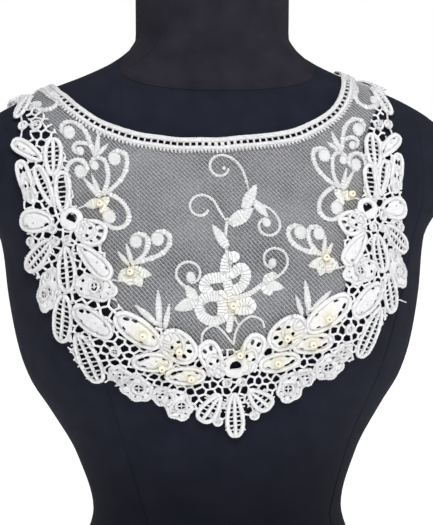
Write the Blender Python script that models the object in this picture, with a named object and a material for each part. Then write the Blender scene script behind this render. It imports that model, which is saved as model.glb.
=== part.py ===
"""White guipure lace yoke with an embroidered net front, worn by a limbless dress form.

Sizes are in millimetres until a mesh is made. The form is a loft through a short table of sections.
The lace is drawn flat, in the yoke's own frame: across from its middle line, and up from below its tip.
Each flat point is then laid on the form and moved out along the form's normal.
"""

import math
from collections import namedtuple

import bmesh
import bpy
import numpy as np
from mathutils import Matrix, Vector
from mathutils.geometry import delaunay_2d_cdt

MM = 0.001

# The dress form: level sections from the flat base up to the top of the neck
Section = namedtuple("Section", "height half_width front back centre fullness")
SECTIONS = (
    Section(0, 146, 104, 124, 0, 2.3),
    Section(60, 144, 103, 127, 0, 2.3),
    Section(120, 126, 95, 110, 0, 2.25),
    Section(160, 104, 86, 88, 0, 2.2),
    Section(186, 97, 82, 78, 0, 2.2),
    Section(230, 109, 88, 80, 0, 2.2),
    Section(266, 129, 95, 86, 0, 2.2),
    Section(290, 144, 101, 91, 0, 2.2),
    Section(313, 152, 106, 95, 0, 2.2),
    Section(352, 159, 110, 100, 0, 2.2),
    Section(395, 164, 106, 104, 0, 2.2),
    Section(418, 178, 101, 106, 2, 2.2),
    Section(445, 190, 94, 104, 4, 2.2),
    Section(472, 187, 84, 100, 5, 2.2),
    Section(487, 172, 77, 96, 5, 2.15),
    Section(500, 150, 70, 90, 5, 2.1),
    Section(511, 124, 64, 83, 5, 2.1),
    Section(521, 98, 58, 76, 5, 2.1),
    Section(531, 77, 55, 68, 4, 2.1),
    Section(540, 65, 54, 61, 2, 2.1),
    Section(550, 59, 53, 55, 0, 2.1),
    Section(580, 59, 53, 53, -3, 2.1),
    Section(610, 60, 54, 54, -6, 2.1),
)
WAIST_HEIGHT = 186
BUST_SIDE, BUST_HEIGHT, BUST_RISE = 72, 350, 20
BUST_WIDE, BUST_TALL = 46, 52
ARM_PLATE_SIDE = 174
NECK_SEAM_FRONT = (-65, 503)
NECK_SEAM_SIDE = (0, 540)
SEAM_GAP = 0.3
RING_POINTS = 40
HIP_STEP, BUST_STEP, SHOULDER_STEP = 30.0, 21.0, 10.0
BUST_FROM, SHOULDER_FROM = 150.0, 402.0

# The yoke's frame: where it is laid on the form
REFERENCE_HEIGHT, REFERENCE_UP = 400, 174
YOKE_TURN = math.radians(2)
TURN_CENTRE = (1, 75)
YOKE_SHIFT = -4
REACH_SIDE, REACH_UP = 160, 420
TABLE_STEP = 2.0

# How the cloth lies over the form, and how thick it is
NET_CLEAR, NET_THICK, SATIN_RISE = 1.0, 1.0, 0.7
BORDER_CLEAR, BORDER_THICK, CORD_RISE = 3.3, 1.1, 1.0
BAND_CLEAR = 3.2
BAND_HALF = 5.9
# Across the band's half width, and how high the braid stands there
BAND_PROFILE = ((-1.0, 0.9), (-0.55, 1.9), (-0.2, 1.1), (0.2, 1.1), (0.6, 1.9), (1.0, 0.9))

Point = namedtuple("Point", "across up")

# How much higher one side of the yoke hangs than the other, by the place up it
Hang = namedtuple("Hang", "up lift")
HANGS = (Hang(30, 9), Hang(90, 8), Hang(125, 2), Hang(190, -1), Hang(245, -6), Hang(275, -11), Hang(341, -4))
HANG_FROM_MIDDLE = 35

# The curved line of the neckband as worn, from shoulder to shoulder
NECK_LINE = (
    Point(-117, 341), Point(-115, 318), Point(-111, 297), Point(-105, 286), Point(-98, 275),
    Point(-84, 262), Point(-69, 255), Point(-54, 250), Point(-40, 247), Point(-26, 244), Point(-12, 243),
    Point(3, 242), Point(18, 243), Point(33, 244), Point(48, 246), Point(61, 249), Point(73, 254),
    Point(83, 259), Point(93, 266), Point(101, 276), Point(107, 289), Point(111, 304), Point(114, 320),
    Point(115, 341),
)
# The net's lower edge, a little way under the border
NET_EDGE = (
    Point(129, 341), Point(130, 318), Point(121, 290), Point(111, 268), Point(108, 241), Point(106, 205),
    Point(100, 184), Point(88, 170), Point(85, 142), Point(79, 125), Point(66, 115),
    Point(46, 107), Point(33, 98), Point(17, 92), Point(0, 91),
)
# The ground of bars that joins the border's motifs, outer and inner edge
GROUND_OUTER = (
    Point(143, 341), Point(144, 318), Point(139, 285), Point(133, 262), Point(136, 240), Point(140, 215),
    Point(139, 185), Point(133, 150), Point(120, 128), Point(104, 84), Point(80, 64),
    Point(56, 52), Point(33, 46), Point(13, 46), Point(0, 46),
)
GROUND_INNER = (
    Point(126, 341), Point(127, 318), Point(118, 288), Point(108, 266), Point(106, 240), Point(103, 205),
    Point(96, 186), Point(84, 170), Point(81, 143), Point(75, 127), Point(63, 118),
    Point(44, 110), Point(31, 101), Point(17, 96), Point(0, 95),
)

# Cord-rimmed petals of the border's one side: base, tip, width and slits, with a taper to the base
Petal = namedtuple("Petal", "name base tip width slits taper")
PETALS = (
    Petal("shoulder_low", Point(130, 303), Point(142, 272), 12, 1, 0.2),
    Petal("shoulder_high", Point(130, 338), Point(143, 306), 12, 1, 0.2),
    Petal("spike_out", Point(125, 234), Point(146, 251), 12, 1, 0.3),
    Petal("spike_up", Point(117, 222), Point(116, 251), 16, 2, 0.2),
    Petal("side_high", Point(134, 203), Point(142, 236), 12, 1, 0.3),
    Petal("side_slim", Point(118, 200), Point(130, 231), 11, 1, 0.3),
    Petal("upper", Point(111, 195), Point(111, 226), 15, 1, 0.3),
    Petal("out", Point(118, 189), Point(144, 192), 19, 2, 0.3),
    Petal("out_low", Point(120, 176), Point(139, 153), 13, 1, 0.3),
    Petal("low", Point(111, 170), Point(110, 138), 15, 2, 0.4),
    Petal("in_low", Point(102, 172), Point(80, 147), 17, 2, 0.4),
    Petal("in_round", Point(103, 184), Point(82, 177), 20, 1, 0.2),
    Petal("scallop", Point(120, 154), Point(127, 125), 20, 0, 0.0),
    Petal("inner_scallop", Point(105, 145), Point(78, 138), 17, 0, 0.0),
    Petal("hanging", Point(110, 140), Point(115, 103), 15, 2, 0.2),
    Petal("oval_side", Point(106, 128), Point(82, 110), 18, 1, 0.0),
    Petal("hanging_long", Point(104, 111), Point(91, 69), 18, 2, 0.3),
    Petal("pearl_leaf", Point(80, 124), Point(51, 98), 18, 1, 0.0),
    Petal("oval_outer", Point(70, 87), Point(42, 85), 16, 1, 0.0),
    Petal("pearl_petal", Point(50, 109), Point(27, 87), 21, 1, 0.0),
    Petal("oval_inner", Point(48, 75), Point(19, 75), 15, 1, 0.0),
    Petal("lobe", Point(84, 82), Point(70, 66), 15, 0, 0.0),
    Petal("foot_scallop", Point(76, 72), Point(59, 53), 21, 0, 0.0),
    Petal("middle_lobe", Point(54, 63), Point(46, 49), 15, 0, 0.0),
    Petal("middle_scallop", Point(44, 62), Point(36, 38), 19, 0, 0.0),
    Petal("fan", Point(10, 60), Point(25, 37), 19, 2, 0.5),
    Petal("crown", Point(8, 74), Point(20, 101), 20, 1, 0.4),
    Petal("fan_side", Point(9, 66), Point(28, 60), 13, 1, 0.4),
)
# The petals on the middle line
MIDDLE_PETALS = (
    Petal("tip", Point(0, 62), Point(0, 26), 16, 2, 0.4),
    Petal("heart", Point(0, 60), Point(0, 92), 22, 0, 0.0),
)
# Rings and eyelets of the border's one side: middle, outer and hole radius
Ring = namedtuple("Ring", "across up outer hole")
RINGS = (
    Ring(138, 262, 4.5, 2.2),
    Ring(126, 261, 8.0, 2.4),
    Ring(136, 175, 4.5, 2.2),
    Ring(113, 180, 14.0, 2.6),
    Ring(107, 189, 8.0, 3.6),
    Ring(120, 184, 7.0, 2.2),
    Ring(106, 177, 7.0, 2.4),
    Ring(112, 172, 7.0, 2.1),
    Ring(123, 148, 6.0, 2.4),
    Ring(127, 137, 5.0, 2.4),
    Ring(97, 143, 6.0, 2.6),
    Ring(87, 141, 6.0, 2.2),
    Ring(81, 97, 5.0, 2.3),
    Ring(77, 76, 6.0, 2.2),
    Ring(65, 64, 7.0, 2.6),
    Ring(50, 57, 6.0, 2.3),
    Ring(39, 51, 6.0, 2.6),
    Ring(13, 38, 5.0, 2.2),
)
MIDDLE_RINGS = (Ring(0, 83, 9.0, 3.4), Ring(0, 69, 8.0, 2.4))

# Bars between the motifs: the gaps of the bar net, cut through
GAP_RADIUS, GAP_SMALLEST, BAR_HALF, GAP_PITCH = 2.7, 2.05, 0.7, 6.4
SLIT_WIDTH, SLIT_SHARE, SLIT_SPACING, SLIT_TO_TIP = 2.2, 0.56, 0.36, 0.15
PETAL_POINTS, RING_SIDES, GAP_SIDES = 10, 6, 6

# Satin scrolls of the net: start, heading, the curl's middle and radius, where it joins, turn and width
Scroll = namedtuple("Scroll", "start heading eye radius joins turn width")
SIDE_SCROLLS = (
    Scroll(Point(-109, 219), 80, Point(-99, 228), 6.5, 120, -1, 3.2),
    Scroll(Point(-84, 208), 55, Point(-85, 231), 7.0, 10, 1, 3.2),
    Scroll(Point(-82, 208), 40, Point(-72, 234), 8.0, 0, 1, 3.4),
    Scroll(Point(-86, 235), 110, Point(-105, 255), 7.0, 70, 1, 3.2),
    Scroll(Point(-79, 209), -20, Point(-75, 190), 10.0, 0, -1, 3.2),
    Scroll(Point(-66, 156), 30, Point(-60, 173), 7.0, 0, 1, 3.8),
    Scroll(Point(-65, 156), 20, Point(-44, 174), 8.0, -10, 1, 3.8),
    Scroll(Point(-105, 280), 150, Point(-120, 284), 7.0, 80, 1, 3.4),
)
MIDDLE_SCROLLS = (
    Scroll(Point(3, 184), 135, Point(-19, 195), 9.5, 60, 1, 2.4),
    Scroll(Point(20, 207), 95, Point(2, 225), 9.5, 75, 1, 2.4),
    Scroll(Point(23, 197), -10, Point(30, 179), 9.0, 10, -1, 2.4),
    Scroll(Point(-29, 137), 130, Point(-28, 147), 10.0, 180, -1, 2.4),
    Scroll(Point(30, 140), 30, Point(33, 154), 10.0, -20, 1, 2.4),
    Scroll(Point(1, 97), 90, Point(14, 108), 8.0, 120, -1, 2.4),
)
# Satin leaves and flower petals of the net: base, tip and width
Leaf = namedtuple("Leaf", "base tip width")
SIDE_LEAVES = (
    Leaf(Point(-85, 235), Point(-80, 252), 5),
    Leaf(Point(-88, 206), Point(-94, 221), 6),
    Leaf(Point(-82, 201), Point(-99, 197), 10),
    Leaf(Point(-90, 201), Point(-77, 196), 9),
    Leaf(Point(-68, 156), Point(-70, 171), 5),
    Leaf(Point(-70, 155), Point(-76, 165), 5),
    Leaf(Point(-72, 154), Point(-57, 148), 10),
    Leaf(Point(-66, 154), Point(-78, 146), 8),
    Leaf(Point(-51, 111), Point(-53, 137), 6),
    Leaf(Point(-53, 112), Point(-65, 127), 6),
    Leaf(Point(-50, 112), Point(-47, 129), 5),
)
MIDDLE_LEAVES = (
    Leaf(Point(2, 152), Point(4, 184), 3),
    Leaf(Point(15, 192), Point(26, 209), 8),
    Leaf(Point(3, 181), Point(21, 192), 10),
    Leaf(Point(1, 163), Point(-9, 181), 7),
    Leaf(Point(1, 132), Point(7, 162), 18),
    Leaf(Point(6, 130), Point(17, 148), 12),
    Leaf(Point(-2, 128), Point(-14, 143), 13),
    Leaf(Point(-2, 123), Point(-21, 118), 12),
    Leaf(Point(2, 120), Point(-3, 100), 8),
    Leaf(Point(6, 124), Point(18, 117), 11),
    Leaf(Point(9, 129), Point(28, 138), 6),
    Leaf(Point(-24, 131), Point(-36, 126), 8),
)
SCROLL_POINTS, NET_LATTICE, NET_MARGIN = 8, 11.5, 3.0
BAND_STATIONS = 46
CURL_SWEEP, CURL_CLOSES_TO, CURL_STEPS = math.radians(250), 0.55, 6
JOIN_WITHIN = 0.01


def steady_curve(places, values, at):
    """A smooth curve through the values that never swings past them."""
    places = np.asarray(places, float)
    values = np.asarray(values, float)
    steps = np.diff(places)
    rates = np.diff(values) / steps
    slopes = np.empty_like(values)
    slopes[0], slopes[-1] = rates[0], rates[-1]
    before, after = rates[:-1], rates[1:]
    share_before = 2 * steps[1:] + steps[:-1]
    share_after = steps[1:] + 2 * steps[:-1]
    with np.errstate(divide="ignore", invalid="ignore"):
        mean = (share_before + share_after) / (share_before / before + share_after / after)
    slopes[1:-1] = np.where(before * after > 0, mean, 0.0)
    at = np.clip(at, places[0], places[-1])
    index = np.clip(np.searchsorted(places, at, side="right") - 1, 0, len(steps) - 1)
    step = steps[index]
    t = (at - places[index]) / step
    return (
        values[index] * (1 + 2 * t) * (1 - t) ** 2
        + step * slopes[index] * t * (1 - t) ** 2
        + values[index + 1] * t * t * (3 - 2 * t)
        + step * slopes[index + 1] * t * t * (t - 1)
    )


def section_value(name, height):
    """One size of the form's section at any height."""
    places = [section.height for section in SECTIONS]
    values = [getattr(section, name) for section in SECTIONS]
    return steady_curve(places, values, height)


def depth_share(side, height):
    """How much of the section's full depth is left at a place out to the side."""
    share = np.abs(side / section_value("half_width", height))
    fullness = section_value("fullness", height)
    return np.clip(1 - share**fullness, 0, None) ** (1 / fullness)


def front_of_form(side, height):
    """The front surface: the section's front half with the two soft rises of the bust."""
    share = depth_share(side, height)
    rises = sum(
        np.exp(-(((side - way * BUST_SIDE) / BUST_WIDE) ** 2) - ((height - BUST_HEIGHT) / BUST_TALL) ** 2)
        for way in (-1, 1)
    )
    depth = section_value("front", height) * share + BUST_RISE * rises * np.sqrt(share)
    return section_value("centre", height) - depth


def back_of_form(side, height):
    """The back surface: the section's back half."""
    depth = section_value("back", height) * depth_share(side, height)
    return section_value("centre", height) + depth


def line_up_the_form(side):
    """Points up the front at one place out to the side, over the shoulder's ridge and down the back."""
    heights = np.linspace(WAIST_HEIGHT, SECTIONS[-1].height, 1600)
    inside = np.flatnonzero(section_value("half_width", heights) > abs(side))
    ridge = heights[inside[-1]]
    rise = np.sin(np.linspace(0, math.pi / 2, 300))
    up = heights[inside[0]] + (ridge - heights[inside[0]]) * rise
    front = front_of_form(np.full_like(up, side), up)
    back = back_of_form(np.full_like(up, side), up)
    return np.concatenate([front, back[-2::-1]]), np.concatenate([up, up[-2::-1]])


class FormLines:
    """The form's surface as a table of lines up it, so that a flat point of the yoke finds its place."""

    def __init__(self):
        self.sides = np.arange(-REACH_SIDE, REACH_SIDE + TABLE_STEP, TABLE_STEP)
        self.ups = np.arange(0, REACH_UP, TABLE_STEP)
        depths, heights = [], []
        for side in self.sides:
            depth, height = line_up_the_form(side)
            length = np.concatenate([[0], np.cumsum(np.hypot(np.diff(depth), np.diff(height)))])
            top = int(height.argmax())
            up = length - np.interp(REFERENCE_HEIGHT, height[:top], length[:top]) + REFERENCE_UP
            depths.append(np.interp(self.ups, up, depth))
            heights.append(np.interp(self.ups, up, height))
        self.table = np.stack([np.array(depths), np.array(heights)], -1)

    def surface(self, side, up):
        """The point on the form, by the table's four nearest entries."""
        i = np.clip((side - self.sides[0]) / TABLE_STEP, 0, len(self.sides) - 1.001)
        j = np.clip((up - self.ups[0]) / TABLE_STEP, 0, len(self.ups) - 1.001)
        low_i, low_j = i.astype(int), j.astype(int)
        s, t = (i - low_i)[:, None], (j - low_j)[:, None]
        corner = self.table
        mixed = (
            corner[low_i, low_j] * (1 - s) * (1 - t)
            + corner[low_i + 1, low_j] * s * (1 - t)
            + corner[low_i, low_j + 1] * (1 - s) * t
            + corner[low_i + 1, low_j + 1] * s * t
        )
        return np.column_stack([side, mixed])

    def lay(self, flat, out):
        """Flat points of the yoke laid on the form and moved out along its normal."""
        flat = np.asarray(flat, float)
        cos, sin = math.cos(YOKE_TURN), math.sin(YOKE_TURN)
        across, up = flat[:, 0] - TURN_CENTRE[0], flat[:, 1] - TURN_CENTRE[1]
        side = TURN_CENTRE[0] + YOKE_SHIFT + across * cos - up * sin
        up = TURN_CENTRE[1] + across * sin + up * cos
        reach = TABLE_STEP
        to_side = self.surface(side + reach, up) - self.surface(side - reach, up)
        to_top = self.surface(side, up + reach) - self.surface(side, up - reach)
        normal = np.cross(to_side, to_top)
        normal /= np.linalg.norm(normal, axis=1)[:, None]
        return self.surface(side, up) + normal * np.broadcast_to(out, len(flat))[:, None]

    def true_shape(self, middle, offsets):
        """Flat points for a shape of real size about a middle, evening out the form's local stretch."""
        around = [middle, Point(middle.across + 1, middle.up), Point(middle.across, middle.up + 1)]
        here, to_side, to_top = self.lay(around, 0.0)
        along = to_side - here
        upward = to_top - here
        first = along / np.linalg.norm(along)
        second = upward - first * upward.dot(first)
        second /= np.linalg.norm(second)
        shape = np.array([[along.dot(first), upward.dot(first)], [along.dot(second), upward.dot(second)]])
        flat = np.asarray(offsets, float) @ np.linalg.inv(shape).T
        return flat + np.array(middle)

    def real_offset(self, start, end):
        """The real length and heading of the step between two flat points."""
        middle = Point((start.across + end.across) / 2, (start.up + end.up) / 2)
        ends = self.lay([start, end], 0.0)
        unit = self.true_shape(middle, [(1, 0), (0, 1)]) - np.array(middle)
        step = np.linalg.solve(unit.T, np.array(end) - np.array(start))
        return np.linalg.norm(ends[1] - ends[0]), math.atan2(step[1], step[0]), middle


def mirrored(points):
    """The same flat points on the other side of the middle line."""
    return [Point(-point.across, point.up) for point in points]


def other_side(row):
    """A row of a table on the other side of the middle line."""
    changes = {
        name: Point(-value.across, value.up)
        for name, value in row._asdict().items()
        if isinstance(value, Point)
    }
    if isinstance(row, Ring):
        changes["across"] = -row.across
    if isinstance(row, Scroll):
        changes["heading"] = 180 - row.heading
        changes["joins"] = 180 - row.joins
        changes["turn"] = -row.turn
    return row._replace(**changes)


def as_worn(point):
    """A flat point where it hangs: one side sits a little higher below and lower at the shoulder."""
    share = min(max(point.across / HANG_FROM_MIDDLE, 0), 1)
    lift = np.interp(point.up, [hang.up for hang in HANGS], [hang.lift for hang in HANGS])
    return Point(point.across, point.up + lift * share * share * (3 - 2 * share))


def row_as_worn(row):
    """A row of a table where it hangs."""
    changes = {name: as_worn(value) for name, value in row._asdict().items() if isinstance(value, Point)}
    if isinstance(row, Ring):
        changes["up"] = as_worn(Point(row.across, row.up)).up
    return row._replace(**changes)


def both_sides(rows):
    """A table's rows and their mirror images, as they hang."""
    return [row_as_worn(row) for row in [*rows, *(other_side(row) for row in rows)]]


def edge_as_worn(half):
    """An edge from one shoulder to the other, as it hangs, from the half on one side."""
    return [as_worn(point) for point in [*half, *mirrored(half[:-1])[::-1]]]


def smooth_line(points, count):
    """A smooth flat line through the points, with even steps."""
    ends = np.array(points, float)
    ends = np.vstack([2 * ends[0] - ends[1], ends, 2 * ends[-1] - ends[-2]])
    t = np.linspace(0, 1, 9)[:-1, None]
    pieces = []
    for a, b, c, d in zip(ends, ends[1:], ends[2:], ends[3:]):
        pieces.append(
            0.5 * (2 * b + (c - a) * t + (2 * a - 5 * b + 4 * c - d) * t**2 + (3 * b - a - 3 * c + d) * t**3)
        )
    line = np.vstack([*pieces, ends[-2:-1]])
    length = np.concatenate([[0], np.cumsum(np.linalg.norm(np.diff(line, axis=0), axis=1))])
    even = np.linspace(0, length[-1], count)
    return np.column_stack([np.interp(even, length, line[:, 0]), np.interp(even, length, line[:, 1])])


def petal_outline(form, petal):
    """A petal's flat outline: a rounded leaf that narrows to its base."""
    length, heading, middle = form.real_offset(petal.base, petal.tip)
    turn = np.linspace(0, 2 * math.pi, PETAL_POINTS, endpoint=False)
    along = -np.cos(turn)
    half = petal.width / 2 * (1 - petal.taper * (1 - along) / 2)
    offsets = np.column_stack([along * length / 2, np.sin(turn) * half])
    cos, sin = math.cos(heading), math.sin(heading)
    return form.true_shape(middle, offsets @ np.array([[cos, sin], [-sin, cos]]))


def petal_slits(form, petal):
    """The slits between a petal's inner bars, as long hexagons."""
    length, heading, middle = form.real_offset(petal.base, petal.tip)
    cos, sin = math.cos(heading), math.sin(heading)
    half, edge = length * SLIT_SHARE / 2, SLIT_WIDTH / 2
    shape = np.array([(-1, 0), (-0.6, -1), (0.7, -1), (1, 0), (0.7, 1), (-0.6, 1)]) * (half, edge)
    slits = []
    for index in range(petal.slits):
        beside = (index - (petal.slits - 1) / 2) * petal.width * SLIT_SPACING
        offsets = shape + (half * SLIT_TO_TIP, beside)
        slits.append(form.true_shape(middle, offsets @ np.array([[cos, sin], [-sin, cos]])))
    return slits


def round_outline(form, middle, radius, sides):
    """A flat outline that is round on the form."""
    turn = np.linspace(0, 2 * math.pi, sides, endpoint=False) + math.pi / sides
    return form.true_shape(middle, np.column_stack([np.cos(turn), np.sin(turn)]) * radius)


def inside(outline, points):
    """Which points lie inside a closed flat outline."""
    x, y = points[:, 0][:, None], points[:, 1][:, None]
    ax, ay = outline[:, 0], outline[:, 1]
    bx, by = np.roll(ax, -1), np.roll(ay, -1)
    with np.errstate(divide="ignore", invalid="ignore"):
        crossing = ((ay > y) != (by > y)) & (x < (bx - ax) * (y - ay) / (by - ay) + ax)
    return crossing.sum(1) % 2 == 1


def distance_to(outline, points):
    """How far each point lies from a closed flat outline."""
    start = outline
    step = np.roll(outline, -1, axis=0) - start
    to_point = points[:, None] - start[None]
    share = np.clip((to_point * step).sum(-1) / (step**2).sum(-1), 0, 1)
    return np.linalg.norm(to_point - share[..., None] * step, axis=-1).min(1)


def bar_gaps(form, ground, motifs):
    """The gaps of the bar net, on an even slanting lattice wherever no motif lies."""
    low, high = ground.min(0), ground.max(0)
    places = []
    for row, up in enumerate(np.arange(low[1], high[1], GAP_PITCH * 0.866)):
        shift = GAP_PITCH / 2 * (row % 2)
        places += [(across + shift, up) for across in np.arange(low[0], high[0], GAP_PITCH)]
    places = np.array(places)
    places = places[inside(ground, places)]
    clear = distance_to(ground, places)
    for outline in motifs:
        places_in = inside(outline, places)
        near = np.where(places_in, 0.0, distance_to(outline, places))
        clear = np.minimum(clear, near)
    gaps = []
    for place, room in zip(places, clear):
        radius = min(GAP_RADIUS, room - BAR_HALF)
        if radius >= GAP_SMALLEST:
            gaps.append(round_outline(form, Point(*place), radius, GAP_SIDES))
    return gaps


def wall(form, name, outlines, holes, ridges, loose, sizes, material):
    """A cloth wall: a flat net of triangles laid on the form twice, with raised outer points.

    Holes come with how far their rims are raised, ridges are raised all along, and loose points stay low.
    """
    clear, thick, rise = sizes
    points, edges, heights = [], [], []

    def add(line, height, closed):
        first = len(points)
        points.extend(Vector(place) for place in line)
        heights.extend([height] * len(line))
        edges.extend((first + i, first + i + 1) for i in range(len(line) - 1))
        if closed:
            edges.append((first + len(line) - 1, first))

    for outline in outlines:
        add(outline, 0.0, True)
    for hole, lift in holes:
        add(hole, lift, True)
    for ridge in ridges:
        add(ridge, 1.0, False)
    for place in loose:
        add([place], 0.0, False)
    places, _, faces, origins, _, _ = delaunay_2d_cdt(points, edges, [], 0, JOIN_WITHIN)
    flat = np.array([tuple(place) for place in places])
    lift = np.array([max((heights[i] for i in origin), default=0.0) for origin in origins])
    faces = np.array([tuple(face) for face in faces])
    middles = flat[faces].mean(1)
    keep = np.zeros(len(faces), bool)
    for outline in outlines:
        keep |= inside(np.asarray(outline), middles)
    for hole, _ in holes:
        keep &= ~inside(np.asarray(hole), middles)
    faces = one_body(faces, keep)
    used = np.unique(faces)
    place_of = np.full(len(flat), -1)
    place_of[used] = np.arange(len(used))
    faces = place_of[faces]
    flat, lift = flat[used], lift[used]
    inner = form.lay(flat, clear)
    outer = form.lay(flat, clear + thick + lift * rise)
    return closed_wall(name, outer, inner, faces, material)


def one_body(faces, keep):
    """The largest joined patch of the kept triangles, with pinched corners filled."""
    keep = keep.copy()
    while True:
        at_corner = corner_edges(faces[keep])
        pinched = [corner for corner, count in at_corner.items() if count > 2]
        if not pinched:
            break
        keep |= np.isin(faces, pinched).any(1)
    return largest_patch(faces[keep])


def rim_edges(faces):
    """The directed edges that only one triangle has."""
    directed = {(a, b) for face in faces for a, b in zip(face, np.roll(face, -1))}
    return [(a, b) for a, b in directed if (b, a) not in directed]


def corner_edges(faces):
    """How many rim edges meet at each corner."""
    counts = {}
    for a, b in rim_edges(faces):
        counts[a] = counts.get(a, 0) + 1
        counts[b] = counts.get(b, 0) + 1
    return counts


def largest_patch(faces):
    """The triangles of the largest patch that is joined by edges."""
    owners = {}
    for index, face in enumerate(faces):
        for a, b in zip(face, np.roll(face, -1)):
            owners.setdefault((min(a, b), max(a, b)), []).append(index)
    nearby = [[] for _ in faces]
    for pair in owners.values():
        for index in pair:
            nearby[index].extend(other for other in pair if other != index)
    seen, best = set(), []
    for start in range(len(faces)):
        if start in seen:
            continue
        patch, waiting = [], [start]
        seen.add(start)
        while waiting:
            index = waiting.pop()
            patch.append(index)
            for other in nearby[index]:
                if other not in seen:
                    seen.add(other)
                    waiting.append(other)
        if len(patch) > len(best):
            best = patch
    return faces[sorted(best)]


def closed_wall(name, outer, inner, faces, material):
    """One closed body from an outer and an inner skin that share their triangles."""
    count = len(outer)
    skins = [tuple(int(i) for i in face) for face in faces]
    backs = [tuple(int(i) + count for i in reversed(face)) for face in faces]
    sides = [(int(b), int(a), int(a) + count, int(b) + count) for a, b in rim_edges(faces)]
    return new_object(name, np.vstack([outer, inner]), skins + backs + sides, material)


def new_object(name, points, faces, material):
    """A named object whose faces all point out."""
    mesh = bpy.data.meshes.new(name)
    mesh.from_pydata([Vector(point) * MM for point in points], [], faces)
    shape = bmesh.new()
    shape.from_mesh(mesh)
    bmesh.ops.recalc_face_normals(shape, faces=shape.faces)
    shape.to_mesh(mesh)
    shape.free()
    mesh.materials.append(material)
    mesh.shade_smooth()
    return bpy.data.objects.new(name, mesh)


def ring_heights():
    """Heights of the form's rings, closer where the shoulders turn."""
    hips = np.arange(SECTIONS[0].height, BUST_FROM, HIP_STEP)
    bust = np.arange(BUST_FROM, SHOULDER_FROM, BUST_STEP)
    shoulders = np.arange(SHOULDER_FROM, SECTIONS[-2].height, SHOULDER_STEP)
    return np.concatenate([hips, bust, shoulders, [SECTIONS[-2].height, SECTIONS[-1].height]])


def form_loft():
    """The whole form as one closed loft, still without its arm plates and neck seam."""
    shape = bmesh.new()
    rings = []
    turn = np.linspace(0, 2 * math.pi, RING_POINTS, endpoint=False)
    for height in ring_heights():
        level = np.full_like(turn, height)
        power = 2 / section_value("fullness", level)
        side = section_value("half_width", level) * np.sign(np.cos(turn)) * np.abs(np.cos(turn)) ** power
        depth = np.where(np.sin(turn) < 0, front_of_form(side, level), back_of_form(side, level))
        rings.append([shape.verts.new(point) for point in zip(side, depth, level)])
    for lower, upper in zip(rings, rings[1:]):
        for i in range(RING_POINTS):
            j = (i + 1) % RING_POINTS
            shape.faces.new((lower[i], lower[j], upper[j], upper[i]))
    shape.faces.new(list(reversed(rings[0])))
    shape.faces.new(rings[-1])
    return shape


def cut_flat(shape, point, away):
    """Cuts off what lies beyond a plane and closes the cut."""
    geometry = [*shape.verts, *shape.edges, *shape.faces]
    cut = bmesh.ops.bisect_plane(
        shape, geom=geometry, dist=0.001, plane_co=point, plane_no=away, clear_outer=True
    )
    rim = [edge for edge in cut["geom_cut"] if isinstance(edge, bmesh.types.BMEdge)]
    bmesh.ops.contextual_create(shape, geom=rim)


def form_piece(name, shape, material):
    """A closed object from one cut piece of the loft."""
    bmesh.ops.triangulate(shape, faces=shape.faces)
    bmesh.ops.recalc_face_normals(shape, faces=shape.faces)
    bmesh.ops.transform(shape, matrix=Matrix.Scale(MM, 4), verts=shape.verts)
    mesh = bpy.data.meshes.new(name)
    shape.to_mesh(mesh)
    shape.free()
    mesh.materials.append(material)
    mesh.shade_smooth()
    mesh.set_sharp_from_angle(angle=math.radians(40))
    return bpy.data.objects.new(name, mesh)


def build_form(body_cloth, neck_cloth):
    """The body with its arm plates and the neck above its slanted seam."""
    seam = Vector((0, *NECK_SEAM_SIDE))
    down_the_seam = Vector((0, *NECK_SEAM_FRONT)) - seam
    away = Vector((0, down_the_seam.z, -down_the_seam.y)).normalized()
    body = form_loft()
    cut_flat(body, seam, away)
    for way in (-1, 1):
        cut_flat(body, (way * ARM_PLATE_SIDE, 0, 0), (way, 0, 0))
    neck = form_loft()
    cut_flat(neck, seam + away * SEAM_GAP, -away)
    return [form_piece("form_body", body, body_cloth), form_piece("form_neck", neck, neck_cloth)]


def ribbon(line, width):
    """The two edges of a flat ribbon about a line, narrowing at both ends."""
    slope = np.gradient(line, axis=0)
    slope /= np.linalg.norm(slope, axis=1)[:, None]
    beside = np.column_stack([-slope[:, 1], slope[:, 0]])
    half = np.full(len(line), width / 2)
    half[0] = half[-1] = width * 0.3
    return np.vstack([line + beside * half[:, None], (line - beside * half[:, None])[::-1]])


def scroll_line(scroll):
    """A scroll's middle line: a bend from its start into a closing curl."""
    joins = math.radians(scroll.joins)
    curl = joins + scroll.turn * np.linspace(0, CURL_SWEEP, CURL_STEPS)
    radius = scroll.radius * np.linspace(1, CURL_CLOSES_TO, CURL_STEPS)
    eye = np.array(scroll.eye)
    around = eye + np.column_stack([np.cos(curl), np.sin(curl)]) * radius[:, None]
    start = np.array(scroll.start, float)
    reach = np.linalg.norm(around[0] - start) * 0.4
    heading = math.radians(scroll.heading)
    leave = start + reach * np.array([math.cos(heading), math.sin(heading)])
    tangent = scroll.turn * np.array([-math.sin(joins), math.cos(joins)])
    arrive = around[0] - reach * tangent
    t = np.linspace(0, 1, CURL_STEPS)[:-1, None]
    near_start = start * (1 - t) ** 3 + 3 * leave * t * (1 - t) ** 2
    near_curl = 3 * arrive * t**2 * (1 - t) + around[0] * t**3
    bend = near_start + near_curl
    return smooth_line([Point(*place) for place in np.vstack([bend, around])], SCROLL_POINTS)


def leaf_outline(leaf):
    """A pointed leaf's outline and its raised middle."""
    base, tip = np.array(leaf.base, float), np.array(leaf.tip, float)
    step = tip - base
    beside = np.array([-step[1], step[0]]) / np.linalg.norm(step)
    share = np.array([0, 0.3, 0.7, 1, 0.7, 0.3])
    half = leaf.width / 2 * np.array([0.15, 0.9, 0.8, 0, -0.8, -0.9])
    outline = base + share[:, None] * step + half[:, None] * beside
    return outline, base + np.array([0.25, 0.5, 0.8])[:, None] * step


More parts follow.
